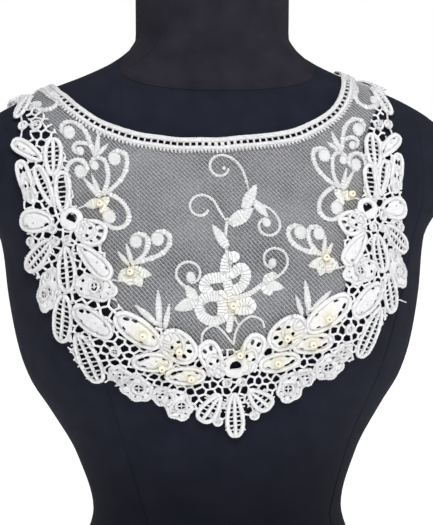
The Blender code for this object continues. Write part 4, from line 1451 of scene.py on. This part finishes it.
    def fan(self, grid: StitchGrid, petal: Petal, motif: Motif) -> None:
        """Rows of slots and a raised arc round the petal's base."""
        grid.pad(self.outline(petal, self.rim), 0.35, 0.5, motif.axes)
        base = -motif.length / 2 + self.rim
        for share, half in ((0.56, 1.15), (0.26, 1.0)):
            turn = np.linspace(-1.35, 1.35, 12)
            along = base + motif.length * share * np.cos(turn)
            beside = petal.width * 0.62 * share * np.sin(turn)
            grid.stroke(motif.flat(np.column_stack([along, beside])), half, 1.25, 0.12)
        places = []
        for turn in (-0.9, -0.3, 0.3, 0.9):
            along = base + motif.length * 0.735 * math.cos(turn * 0.8)
            places.append((along, petal.width * 0.4 * math.sin(turn), math.degrees(turn) * 0.7, 2.4, 1.35))
        for turn in (-0.5, 0.4):
            along = base + motif.length * 0.4 * math.cos(turn)
            places.append((along, petal.width * 0.3 * math.sin(turn), math.degrees(turn), 1.8, 1.1))
        self.slots(grid, motif, places)

    def collar(self, grid: StitchGrid, collar: Collar) -> None:
        """A padded collar with a half-moon eyelet cut through it."""
        middle = settled(as_worn(collar.middle))
        heading = math.radians(collar.faces)
        top = Point(middle.across + math.cos(heading), middle.up + math.sin(heading))
        motif = Motif(self.surface, middle, top)
        around = circle(32)
        grid.pad(motif.flat(around * (collar.outer * 0.9, collar.outer)), 1.3, 3.0)
        moon = around * (collar.hole * 0.95, collar.hole)
        moon[:, 0] = np.maximum(moon[:, 0], -collar.hole * 0.35)
        grid.cut(motif.flat(moon), 0.9)

    def ground(self, grid: StitchGrid, petals: list[Petal], rings: list[Ring]) -> None:
        """The uneven net of bars, which leaves the petals, the rings and the collars their places."""
        around = circle(28)
        for petal in petals:
            grid.claim(self.outline(petal))
        for ring in rings:
            grid.claim(self.upright(ring.middle).flat(around * ring.outer + self.ring_shift))
        for collar in (*COLLARS, MIDDLE_COLLAR):
            grid.claim(self.upright(settled(as_worn(collar.middle))).flat(around * collar.outer * 0.85))
        edges = np.vstack([
            smooth_line([settled(point) for point in edge_as_worn(GROUND_OUTER)], 120),
            smooth_line([settled(point) for point in edge_as_worn(GROUND_INNER)[::-1]], 120),
        ])
        grid.bars(edges, self.gap_pitch, 0.72, 0.6, 11, 1.2)

    def petal(self, grid: StitchGrid, petal: Petal) -> None:
        """One petal: its filling and the cord round it."""
        work = {Fill.LADDER: self.ladder, Fill.SATIN: self.satin, Fill.SEED: self.seed, Fill.FAN: self.fan}
        work[petal.fill](grid, petal, Motif(self.surface, petal.base, petal.tip))
        seeded = petal.fill is Fill.SEED
        rim, height, teeth = (1.2, 0.9, 0.3) if seeded else (self.rim, self.rim_height, 0.14)
        self.loop(grid, self.outline(petal, rim), rim, height, teeth)

    def ring(self, grid: StitchGrid, ring: Ring) -> None:
        """One ring picot with a cross of thread in its hole."""
        motif = self.upright(ring.middle)
        around = circle(28)
        middle, half = (ring.outer + ring.hole) / 2, (ring.outer - ring.hole) / 2
        grid.cut(motif.flat(around * (ring.hole + 0.2) + self.ring_shift), 0.4)
        self.loop(grid, motif.flat(around * middle + self.ring_shift), half, 1.2)
        for reach in ((ring.hole, 0.0), (0.0, ring.hole)):
            tie = np.array(reach)
            grid.stroke(motif.flat([self.ring_shift - tie, self.ring_shift + tie]), 0.42, 0.4)

    def draw(self, grid: StitchGrid) -> None:
        """Draws the whole border on the grid."""
        petals = [*both_sides(PETALS), *MIDDLE_PETALS]
        rings = [*both_sides(RINGS), *MIDDLE_RINGS]
        self.ground(grid, petals, rings)
        for petal in petals:
            self.petal(grid, petal)
        for collar in (*COLLARS, MIDDLE_COLLAR):
            self.collar(grid, collar)
        for ring in rings:
            self.ring(grid, ring)
        for tie in both_sides(TIES):
            grid.stroke(tie, 0.6, 0.6)
        grid.stroke([settled(as_worn(point)) for point in LOOSE_END], 0.42, 0.3)
        grid.roughen(5, 0.13, 0.2)

    def upright(self, middle: Point) -> Motif:
        """The small frame of real size at a ring's middle."""
        return Motif(self.surface, middle, Point(middle.across, middle.up + 1))

    def build(self, material: bpy.types.Material) -> list[bpy.types.Object]:
        """Cuts the border out as three pieces that meet edge to edge.

        Returns:
            The pieces from one shoulder to the other.
        """
        grid = StitchGrid((-160, 18), (160, 345), self.cell, self.surface.stretch)
        self.draw(grid)
        parts = {
            "border_left": lambda at: at[:, 0] < -self.split,
            "border_middle": lambda at: np.abs(at[:, 0]) <= self.split,
            "border_right": lambda at: at[:, 0] > self.split,
        }
        pieces = []
        for name, chosen in parts.items():
            cloth = grid.cut_out(chosen)
            pieces.append(cloth.laid(name, self.surface.lay, self.clear, self.thick, material))
            report_piece(pieces[-1])
        return pieces


@dataclass
class NetFront:
    """The net panel: a fine film, its slanting threads, and the satin embroidery on it.

    Attributes:
        surface: The form that it lies on.
        cell: The stitch grid's spacing for the embroidery in millimetres.
        clear: How far the film stands off the form.
        thread_pitch: The spacing of the strong threads.
        slant: Their heading on the flat.
        fine_pitch: The spacing of the finer threads that cross them.
        fine_slant: The heading of those.
    """

    surface: FormSurface
    cell: float
    clear: float = 1.1
    thread_pitch: float = 2.25
    slant: float = math.radians(-52)
    fine_pitch: float = 2.7
    fine_slant: float = math.radians(33)

    def outline(self) -> np.ndarray:
        """The net's flat outline."""
        return np.vstack([smooth_line(NECK_LINE, 90), smooth_line(edge_as_worn(NET_EDGE), 140)])

    def film(self, material: bpy.types.Material) -> bpy.types.Object:
        """The fine see-through ground."""
        outline = self.outline()
        grid = StitchGrid((-140, 80), (140, 345), 2.5, lambda at: np.eye(2))
        grid.pad(outline, 0.0, 1.0)
        piece = grid.cut_out().laid("net_film", self.surface.lay, self.clear, 0.12, material)
        report_piece(piece)
        return piece

    def thread_paths(self, slant: float, pitch: float) -> Iterator[tuple[np.ndarray, np.ndarray]]:
        """The flat path of each thread of one family inside the net, with the direction across it."""
        outline = self.outline()
        heading = np.array([math.cos(slant), math.sin(slant)])
        beside = np.array([-heading[1], heading[0]])
        reach = outline @ beside
        along = np.arange((outline @ heading).min(), (outline @ heading).max(), 3.0)
        for offset in np.arange(reach.min(), reach.max(), pitch):
            wave = 0.18 * np.sin(along * 0.9 + offset)
            line = along[:, None] * heading + (offset + wave)[:, None] * beside
            within = inside(outline, line)
            edges = np.flatnonzero(np.diff(np.concatenate([[0], within.astype(int), [0]])))
            for first, last in zip(edges[::2], edges[1::2]):
                if last - first >= 3:
                    yield line[first:last], beside

    def thread(
        self, path: np.ndarray, beside: np.ndarray, half: float, rise: float
    ) -> tuple[np.ndarray, np.ndarray]:
        """One thread's closed four-sided body on the form.

        Args:
            path: Its flat path.
            beside: The direction across it.
            half: Its half width.
            rise: How high it stands on the film.

        Returns:
            Its points and its triangles.
        """
        corners = ((-half, 0.0), (half, 0.0), (half * 0.5, rise), (-half * 0.5, rise))
        clear = self.clear + 0.14
        sides = [self.surface.lay(path + across * beside, clear + out) for across, out in corners]
        start = 4 * np.arange(len(path) - 1)[:, None]
        k = np.arange(4)
        a, b = start + k, start + (k + 1) % 4
        quads = np.stack([a, a + 4, b + 4, b], -1).reshape(-1, 4)
        near_cap = np.array([(0, 1, 2), (0, 2, 3)])
        far_cap = near_cap[:, ::-1] + 4 * (len(path) - 1)
        sheets = [quads[:, [0, 2, 1]], quads[:, [0, 3, 2]], near_cap[:, ::-1], far_cap[:, ::-1]]
        return np.stack(sides, 1).reshape(-1, 3), np.vstack(sheets)

    def threads(self, material: bpy.types.Material) -> bpy.types.Object:
        """The net's threads: strong ones on the slant, and finer ones that cross them."""
        points, triangles = [], []
        count = 0
        families = (
            (self.slant, self.thread_pitch, 0.215, 0.26),
            (self.fine_slant, self.fine_pitch, 0.07, 0.1),
        )
        for slant, pitch, half, rise in families:
            for path, beside in self.thread_paths(slant, pitch):
                body, faces = self.thread(path, beside, half, rise)
                points.append(body)
                triangles.append(faces + count)
                count += len(body)
        points = np.vstack(points)
        piece = new_piece("net_threads", points, np.vstack(triangles), points[:, [0, 2]], {})
        piece.data.materials.append(material)
        piece.data.shade_smooth()
        report_piece(piece)
        return piece

    def scroll(self, grid: StitchGrid, scroll: Scroll) -> None:
        """A satin scroll: a bend that closes into a curl and ends in a round blob."""
        fine = scroll.width < 2.5
        sweep = math.radians(265 if fine else 192)
        joins = math.radians(scroll.joins)
        curl = joins + scroll.turn * np.linspace(0, sweep, 14)
        radius = scroll.radius * np.linspace(1, 0.58 if fine else 0.64, 14)
        eye = np.array(scroll.eye)
        around = eye + np.column_stack([np.cos(curl), np.sin(curl)]) * radius[:, None]
        start = np.array(scroll.start, float)
        reach = np.linalg.norm(around[0] - start) * 0.4
        heading = math.radians(scroll.heading)
        leave = start + reach * np.array([math.cos(heading), math.sin(heading)])
        tangent = scroll.turn * np.array([-math.sin(joins), math.cos(joins)])
        arrive = around[0] - reach * tangent
        t = np.linspace(0, 1, 12)[:-1, None]
        near_start = start * (1 - t) ** 3 + 3 * leave * t * (1 - t) ** 2
        near_curl = 3 * arrive * t**2 * (1 - t) + around[0] * t**3
        line = np.vstack([near_start + near_curl, around])
        half = np.full(len(line), scroll.width / 2)
        half[:3] *= (0.5, 0.75, 0.9)
        grid.stroke(line, half, 0.75, 0.16 * scroll.width, 2.1)
        turn = np.linspace(0, math.tau, 60, endpoint=False)
        reach = scroll.blob * 0.95 * (1 + 0.09 * np.cos(turn * 13))
        blob = np.column_stack([np.cos(turn) * reach, np.sin(turn) * reach * 1.2])
        grid.pad(around[-1] + (eye - around[-1]) * (0.6 if fine else 0.4) + blob, 0.9, 1.8)

    def leaf(self, grid: StitchGrid, leaf: Leaf) -> None:
        """A pointed satin leaf with a split down its middle when it is wide."""
        motif = Motif(self.surface, leaf.base, leaf.tip)
        share = np.linspace(0, 1, 9)
        bulge = np.sin(math.pi * share**0.75) ** 0.8
        along = (share - 0.5) * motif.length
        if leaf.width < 7:
            half = leaf.width / 2 * bulge + 0.25
            grid.stroke(motif.flat(np.column_stack([along, np.zeros(9)])), half, 0.8, 0.28, 2.1)
            return
        for way in (-1, 1):
            half = leaf.width / 4 * bulge + 0.35
            line = motif.flat(np.column_stack([along, way * leaf.width / 4.3 * bulge]))
            grid.stroke(line, half, 0.85, 0.3, 2.1)

    def satin(self, material: bpy.types.Material) -> bpy.types.Object:
        """The embroidery."""
        grid = StitchGrid((-140, 84), (140, 300), self.cell, self.surface.stretch)
        for scroll in [*both_sides(SIDE_SCROLLS), *MIDDLE_SCROLLS]:
            self.scroll(grid, scroll)
        for leaf in [*both_sides(SIDE_LEAVES), *MIDDLE_LEAVES]:
            self.leaf(grid, leaf)
        for sprig in [*both_sides(SIDE_SPRIGS), *SPRIGS]:
            line = smooth_line(sprig.line, 8 * len(sprig.line))
            grid.stroke(line, sprig.width / 2, 0.55, 0.05 * sprig.width + 0.08, 2.1)
        grid.roughen(7, 0.08, 0.08)
        piece = grid.cut_out().laid("net_satin", self.surface.lay, self.clear + 0.35, 0.35, material)
        report_piece(piece)
        return piece


@dataclass
class Neckband:
    """The ladder braid along the neck: two corded edges, rungs between them and a zigzag below."""

    surface: FormSurface
    cell: float
    clear: float = 2.0
    rung_pitch: float = 4.95
    picot_pitch: float = 2.8
    closed_across: float = 3.0

    def place(self, line: np.ndarray) -> Place:
        """The function that lays the straight braid along the neck line."""
        slope = np.gradient(line, axis=0)
        slope /= np.linalg.norm(slope, axis=1)[:, None]
        beside = np.column_stack([-slope[:, 1], slope[:, 0]])
        steps = np.arange(len(line), dtype=float)

        def laid(flat: np.ndarray, out: object) -> np.ndarray:
            """Lays places along and beside the neck line on the form."""
            at = flat[:, 0] / self.run * (len(line) - 1)
            middle = np.column_stack([np.interp(at, steps, line[:, k]) for k in (0, 1)])
            side = np.column_stack([np.interp(at, steps, beside[:, k]) for k in (0, 1)])
            return self.surface.lay(middle + side * flat[:, 1:2], out)

        return laid

    def build(self, material: bpy.types.Material) -> bpy.types.Object:
        """Draws the braid straight, and lays it along the neck line."""
        line = smooth_line(NECK_LINE, 500)
        laid = self.surface.lay(line, self.clear)
        self.run = float(np.linalg.norm(np.diff(laid, axis=0), axis=1).sum())
        grid = StitchGrid((-1, -8.2), (self.run + 1, 6.6), self.cell, lambda at: np.eye(2))
        first, last = 0.5, self.run - 0.5
        for beside in (4.7, 2.95):
            grid.stroke([(first, beside), (last, beside)], 1.05, 0.9)
        grid.stroke([(first, -1.7), (last, -1.7)], 0.95, 0.9)
        grid.stroke([(first, -3.2), (last, -3.2)], 0.95, 0.8)
        closed_at = float(np.argmin(np.abs(line[:, 0] - self.closed_across))) / (len(line) - 1) * self.run
        for along in np.arange(first + 0.6, last, self.rung_pitch):
            grown = 0.75 * math.exp(-(((along - closed_at) / 16) ** 2))
            grid.stroke([(along, 2.4), (along, -1.2)], 0.72 + grown, 0.6)
        for along in np.arange(first + 1.5, last - 1.5, self.picot_pitch):
            grid.stroke([(along - 0.3, -3.5), (along + 0.2, -5.9)], [1.2, 0.55], 0.8)
        grid.roughen(9, 0.1, 0.1)
        piece = grid.cut_out().laid("neck_braid", self.place(line), self.clear, 0.5, material)
        report_piece(piece)
        return piece


@dataclass
class BeadSet:
    """The sewn pearl beads.

    Attributes:
        surface: The form that they are sewn over.
        radius: A bead's radius in millimetres.
        bore: Its bore's radius.
        dimple: How deep the bore is pressed in.
        net_out: How far the net's embroidery stands off the form under a bead.
        border_out: How far the border's petals do.
        seated: The share of the radius by which a bead's middle stands above them.
        turned_to: The way the bores lean from the cloth's own direction.
    """

    surface: FormSurface
    radius: float = 2.7
    bore: float = 0.6
    dimple: float = 1.3
    net_out: float = 2.4
    border_out: float = 4.6
    seated: float = 0.72
    turned_to: tuple[float, float, float] = (-0.3, -1.8, 0.1)

    def bead(self, name: str) -> bpy.types.Object:
        """One bead with its bore dimpled in, standing on the origin."""
        bpy.ops.object.select_all(action="DESELECT")
        bpy.ops.mesh.primitive_uv_sphere_add(segments=28, ring_count=18, radius=self.radius * MM)
        piece = bpy.context.active_object
        piece.name = piece.data.name = name
        bored = piece.data.attributes.new("bore", "FLOAT", "POINT")
        for vertex in piece.data.vertices:
            from_axis = math.hypot(vertex.co.x, vertex.co.y) / MM
            sunk = max(1 - from_axis / (2 * self.bore), 0)
            vertex.co.z -= math.copysign(self.dimple * MM * sunk * sunk, vertex.co.z)
            bored.data[vertex.index].value = min(1.6 * sunk, 1)
        bpy.ops.object.shade_smooth_by_angle(angle=math.radians(50))
        return piece

    def build(self, material: bpy.types.Material) -> list[bpy.types.Object]:
        """Places every bead on the lace."""
        pieces = []
        for number, flat in enumerate((*NET_BEADS, *BORDER_BEADS)):
            out = self.net_out if number < len(NET_BEADS) else self.border_out
            low, high = self.surface.lay([flat, flat], [0.0, 1.0])
            normal = Vector(high - low).normalized()
            piece = self.bead(f"pearl_{number:02d}")
            centre = Vector(low) + normal * (out + self.radius * self.seated)
            facing = (normal + Vector(self.turned_to)).normalized()
            turn = Vector((0, 0, 1)).rotation_difference(facing).to_matrix().to_4x4()
            piece.data.transform(Matrix.Translation(centre * MM) @ turn)
            piece.data.materials.append(material)
            report_piece(piece)
            pieces.append(piece)
        return pieces


@dataclass
class DressForm:
    """The covered form: body and neck, with sunk seams, flat arm plates and a slanted neck seam.

    Attributes:
        surface: The form's own shape.
        plate: How far the flat arm plates stand from the middle.
        seam_front: The neck seam's depth and height at the front.
        seam_side: The same at the sides.
        trough: How deep a sewn panel seam is sunk.
        trough_half: Half the width of that trough.
        seams_sewn: The panel seams that show, by their number round the form.
        seam_radius: The radius that turns a place beside a seam into an angle.
        plain_from: The height from which no panel seam is sunk.
        neck_seam: How deep the neck seam is sunk.
        neck_seam_half: Half the width of that trough.
    """

    surface: FormSurface
    plate: float = 174.0
    seam_front: tuple[float, float] = (-65.0, 503.0)
    seam_side: tuple[float, float] = (0.0, 540.0)
    trough: float = 0.9
    trough_half: float = 1.3
    seams_sewn: tuple[int, ...] = (2, 4, 5, 6, 9)
    seam_radius: float = 150.0
    plain_from: float = 548.0
    neck_seam: float = 1.9
    neck_seam_half: float = 1.3

    def seam_turns(self, height: np.ndarray) -> np.ndarray:
        """Where each seam lies round the section at every height, as angles from the front middle.

        Returns:
            A row for each height and a column for each seam.
        """
        wide = self.surface.value("half_width", height)
        fullness = self.surface.value("fullness", height)
        levels = (0, 60, 186, 243, 297, 350, 420, 500)
        princess = np.interp(height, levels, (86, 84, 60, 76, 91, 84, 80, 76))
        panel = np.interp(height, levels[:-1], (118, 116, 78, 92, 112, 128, 150))
        turns = [np.full_like(height, -math.pi / 2)]
        for reach, most in ((princess, 0.74), (panel, 0.93)):
            share = np.clip(reach / wide, 0, most) ** (fullness / 2)
            turns.append(-np.arccos(share))
        turns.append(np.zeros_like(height))
        share = np.clip(princess * 0.95 / wide, 0, 0.76) ** (fullness / 2)
        turns.append(np.arccos(share))
        turns.append(np.full_like(height, math.pi / 2))
        right = np.array(turns)
        left = math.pi - right[-2:0:-1]
        return np.vstack([right, left]).T

    def columns(self, heights: np.ndarray) -> tuple[np.ndarray, np.ndarray]:
        """The skin's mesh columns, close together at every seam.

        Args:
            heights: The heights of the mesh's rows.

        Returns:
            The angle of each column at each height, and how deep each column is sunk.
        """
        seams = self.seam_turns(heights)
        near = np.array([-3.2, -1.7, -0.9, -0.4, 0, 0.4, 0.9, 1.7, 3.2])
        edge = near[-1] / self.seam_radius
        columns, sunk = [], []
        count = seams.shape[1]
        for k in range(count):
            here = seams[:, k]
            after = seams[:, (k + 1) % count] + (math.tau if k == count - 1 else 0)
            trough = self.trough if k in self.seams_sewn else 0
            for step in near:
                columns.append(here + step / self.seam_radius)
                sunk.append(trough * math.exp(-((step / self.trough_half) ** 2)))
            for share in np.linspace(0, 1, 9)[1:-1]:
                columns.append(here + edge + share * (after - here - 2 * edge))
                sunk.append(0)
        return np.array(columns).T, np.array(sunk)

    def skin(self, name: str) -> bpy.types.Object:
        """The whole cover as one closed skin, before it is cut."""
        heights = np.unique(np.concatenate([
            np.arange(0, 402, 6), np.arange(402, 480, 4), np.arange(480, 548, 1.6), np.arange(548, 610, 5),
            [610],
        ]))
        turn, sunk = self.columns(heights)
        bpy.ops.object.select_all(action="DESELECT")
        across, up = turn.shape[1], len(heights) - 1
        bpy.ops.mesh.primitive_grid_add(x_subdivisions=across, y_subdivisions=up, size=1)
        piece = bpy.context.active_object
        piece.name = piece.data.name = name
        co = np.empty(len(piece.data.vertices) * 3)
        piece.data.vertices.foreach_get("co", co)
        co = co.reshape(-1, 3)
        column = np.rint((co[:, 0] + 0.5) * across).astype(int) % across
        row = np.rint((co[:, 1] + 0.5) * up).astype(int)
        angle, height = turn[row, column], heights[row]
        power = 2 / self.surface.value("fullness", height)
        cos = np.cos(angle)
        side = self.surface.value("half_width", height) * np.sign(cos) * np.abs(cos) ** power
        front, back = self.surface.front(side, height), self.surface.back(side, height)
        depth = np.where(np.sin(angle) < 0, front, back)
        inward = sunk[column] * (height < self.plain_from)
        length = np.hypot(side, depth)
        points = np.column_stack([side, depth, height])
        points[:, :2] -= points[:, :2] / length[:, None] * inward[:, None]
        piece.data.vertices.foreach_set("co", (points * MM).ravel())
        piece.data.update()
        bpy.ops.object.mode_set(mode="EDIT")
        bpy.ops.mesh.select_all(action="SELECT")
        bpy.ops.mesh.remove_doubles(threshold=0.00002)
        bpy.ops.mesh.fill_holes(sides=0)
        bpy.ops.mesh.normals_make_consistent(inside=False)
        bpy.ops.object.mode_set(mode="OBJECT")
        return piece

    def slice(self, piece: bpy.types.Object, point: Sequence[float], away: Sequence[float]) -> None:
        """Cuts off what lies beyond a plane and closes the cut."""
        select_only(piece)
        bpy.ops.object.mode_set(mode="EDIT")
        bpy.ops.mesh.select_mode(type="VERT")
        bpy.ops.mesh.select_all(action="SELECT")
        bpy.ops.mesh.bisect(
            plane_co=point, plane_no=away, use_fill=True, clear_outer=True, threshold=0.00001
        )
        bpy.ops.object.mode_set(mode="OBJECT")

    def press_neck_seam(self, piece: bpy.types.Object, seam: Vector, away: Vector) -> None:
        """Sinks the cover along the slanted neck seam."""
        for vertex in piece.data.vertices:
            gap = abs((vertex.co - seam).dot(away)) / MM
            across = Vector((vertex.co.x, vertex.co.y, 0))
            if gap < 4 and vertex.co.z > 0.49 and across.length > 0.03:
                sunk = self.neck_seam * math.exp(-((gap / self.neck_seam_half) ** 2)) * MM
                vertex.co -= across.normalized() * sunk

    def build(
        self, body_cloth: bpy.types.Material, neck_cloth: bpy.types.Material
    ) -> list[bpy.types.Object]:
        """The body and the neck."""
        seam = Vector((0, *self.seam_side)) * MM
        down = Vector((0, *self.seam_front)) * MM - seam
        away = Vector((0, down.z, -down.y)).normalized()
        body = self.skin("body_cover")
        self.slice(body, seam, away)
        for way in (-1, 1):
            self.slice(body, (way * self.plate * MM, 0, 0), (way, 0, 0))
        neck = self.skin("neck_cover")
        self.slice(neck, seam + away * 0.3 * MM, -away)
        for piece, cloth in ((body, body_cloth), (neck, neck_cloth)):
            self.press_neck_seam(piece, seam, away)
            piece.data.materials.clear()
            piece.data.materials.append(cloth)
            select_only(piece)
            bpy.ops.object.shade_smooth_by_angle(angle=math.radians(50))
            report_piece(piece)
        return [body, neck]


@dataclass
class Studio:
    """Plain pale floor, soft light and the photograph's camera.

    Attributes:
        azimuth: Where the camera stands round the form.
        elevation: How far it looks down.
        roll: How far it is turned about its own line of sight.
        distance: Its distance from what it looks at in metres.
        look_at: What it looks at.
        aside: How far it is moved along its own right.
        focal_pixels: Its focal length in the photograph's pixels.
        half_frame_pixels: Half the frame's longer side in the same pixels.
        sensor: The sensor's longer side in millimetres.
        room_light: The light from all round.
        paper: The two tones of the floor.
        glow: The floor's own light near the form and far from it.
    """

    azimuth: float = math.radians(-8)
    elevation: float = math.radians(3)
    roll: float = math.radians(-0.6)
    distance: float = 1.05
    look_at: tuple[float, float, float] = (0.0, 0.0, 0.376)
    aside: float = 0.00156
    focal_pixels: float = 1346.15
    half_frame_pixels: float = 262.5
    sensor: float = 36.0
    room_light: float = 0.17
    paper: tuple[Colour, Colour] = ((0.86, 0.86, 0.86, 1), (0.9, 0.9, 0.9, 1))
    glow: tuple[Colour, Colour] = ((0.66, 0.66, 0.66, 1), (0.9, 0.9, 0.9, 1))

    def camera(self) -> None:
        """Sets the camera."""
        back = Vector((
            math.sin(self.azimuth) * math.cos(self.elevation),
            -math.cos(self.azimuth) * math.cos(self.elevation),
            math.sin(self.elevation),
        ))
        level = Vector((math.cos(self.azimuth), math.sin(self.azimuth), 0))
        upright = back.cross(level)
        right = level * math.cos(self.roll) + upright * math.sin(self.roll)
        up = upright * math.cos(self.roll) - level * math.sin(self.roll)
        data = bpy.data.cameras.new("camera")
        data.sensor_width = self.sensor
        data.lens = self.sensor / 2 / (self.half_frame_pixels / self.focal_pixels)
        data.clip_start, data.clip_end = 0.05, 50
        camera = bpy.data.objects.new("camera", data)
        turn = Matrix((right, up, back)).transposed().to_4x4()
        stand = Vector(self.look_at) + back * self.distance + right * self.aside
        camera.matrix_world = Matrix.Translation(stand) @ turn
        bpy.context.scene.collection.objects.link(camera)
        bpy.context.scene.camera = camera

    def light(self, lamp: Lamp) -> None:
        """A soft square light that faces the yoke."""
        data = bpy.data.lights.new(lamp.name, "AREA")
        data.size, data.energy = lamp.side, lamp.power
        light = bpy.data.objects.new(lamp.name, data)
        place = Vector(lamp.place)
        turn = (place - Vector(self.look_at)).to_track_quat("Z", "Y").to_matrix().to_4x4()
        light.matrix_world = Matrix.Translation(place) @ turn
        bpy.context.scene.collection.objects.link(light)

    def floor(self) -> None:
        """A wide pale floor."""
        bpy.ops.object.select_all(action="DESELECT")
        bpy.ops.mesh.primitive_circle_add(vertices=96, radius=9, fill_type="NGON", location=(0, 0, 0))
        floor = bpy.context.active_object
        floor.name = "floor"
        nodes = Nodes("floor_paper")
        tone = nodes.mix(nodes.noise(3.0), *self.paper)
        away = nodes.add("ShaderNodeVectorMath", {0: nodes.place()}, operation="LENGTH").outputs["Value"]
        glow = nodes.mix(nodes.ramp(away, 0.5, 2.6), *self.glow)
        nodes.put(Base_Color=tone, Roughness=0.9, Emission_Color=glow, Emission_Strength=1.0)
        floor.data.materials.append(nodes.material)
        floor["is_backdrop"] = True

    def build(self) -> None:
        """Sets the whole studio."""
        self.camera()
        self.floor()
        for lamp in LAMPS:
            self.light(lamp)
        world = bpy.data.worlds.new("studio")
        world.use_nodes = True
        tree = world.node_tree
        seen = tree.nodes.new("ShaderNodeLightPath").outputs["Is Camera Ray"]
        strength = tree.nodes.new("ShaderNodeMapRange")
        tree.links.new(seen, strength.inputs["Value"])
        strength.inputs["To Min"].default_value = self.room_light
        tree.links.new(strength.outputs[0], tree.nodes["Background"].inputs["Strength"])
        tree.nodes["Background"].inputs["Color"].default_value = (1, 1, 1, 1)
        bpy.context.scene.world = world
        bpy.context.scene.view_settings.view_transform = "Standard"


def select_only(piece: bpy.types.Object) -> None:
    """Makes a piece the one that Blender's own tools work on."""
    bpy.ops.object.select_all(action="DESELECT")
    piece.select_set(True)
    bpy.context.view_layer.objects.active = piece


def report_piece(piece: bpy.types.Object) -> None:
    """Logs a finished piece."""
    LOG.info("%s: %d faces", piece.name, len(piece.data.polygons))


def declare(piece: bpy.types.Object, slot: str, *nodes: str) -> bpy.types.Object:
    """Fixes a finished piece to the one body and hides the nodes that it stands for."""
    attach(piece, "root")
    if nodes:
        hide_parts(*nodes)
    return piece


def main() -> None:
    """Builds the form, the lace, the beads and the studio."""
    logging.basicConfig(level=logging.INFO, format="%(message)s")
    cell = 0.6
    surface = FormSurface()
    Studio().build()

    navy = FormCloth("form_cloth", (0.0136, 0.0151, 0.0268, 1), (0.0076, 0.0088, 0.0168, 1))
    charcoal = FormCloth("neck_cloth", (0.021, 0.0195, 0.028, 1), (0.011, 0.0105, 0.016, 1), weave=0.0009)
    body, neck = DressForm(surface).build(navy.build(), charcoal.build())
    declare(body, "form_cloth", "form_body")
    declare(neck, "neck_cloth", "form_neck")

    net = NetFront(surface, cell)
    film = declare(net.film(FineTulle("net_tulle").build()), "net_cloth", "net_panel")
    threads = declare(net.threads(NetThread("net_thread").build()), "net_cloth")
    satin_cotton = CottonStitch("satin_cotton", (0.87, 0.87, 0.875, 1), (0.64, 0.645, 0.65, 1), ridge=0.75)
    satin = declare(net.satin(satin_cotton.build()), "net_cloth")

    border = GuipureBorder(surface, cell).build(CottonStitch("guipure_cotton").build())
    declare(border[0], "lace_cotton", "guipure_border")
    for piece in border[1:]:
        declare(piece, "lace_cotton")

    braid_cotton = CottonStitch("braid_cotton", (0.87, 0.865, 0.875, 1), (0.64, 0.64, 0.65, 1), ridge=0.9)
    braid = declare(Neckband(surface, 0.5).build(braid_cotton.build()), "braid_cotton", "neckband")

    beads = BeadSet(surface).build(PearlCoat("pearl_coat").build())
    for bead in beads:
        declare(bead, "pearl")

    on_net, on_border = beads[:len(NET_BEADS)], beads[len(NET_BEADS):]
    on_middle, on_right = [on_border[0], *on_border[2:]], [on_border[1]]
    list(on_net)
    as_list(on_middle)
    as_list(on_right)
    sizes = {"cad": CAD_BOX, "visual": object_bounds()}
    {name: [[float(n) for n in corner] for corner in box] for name, box in sizes.items()}


if __name__ == "__main__":
    main()
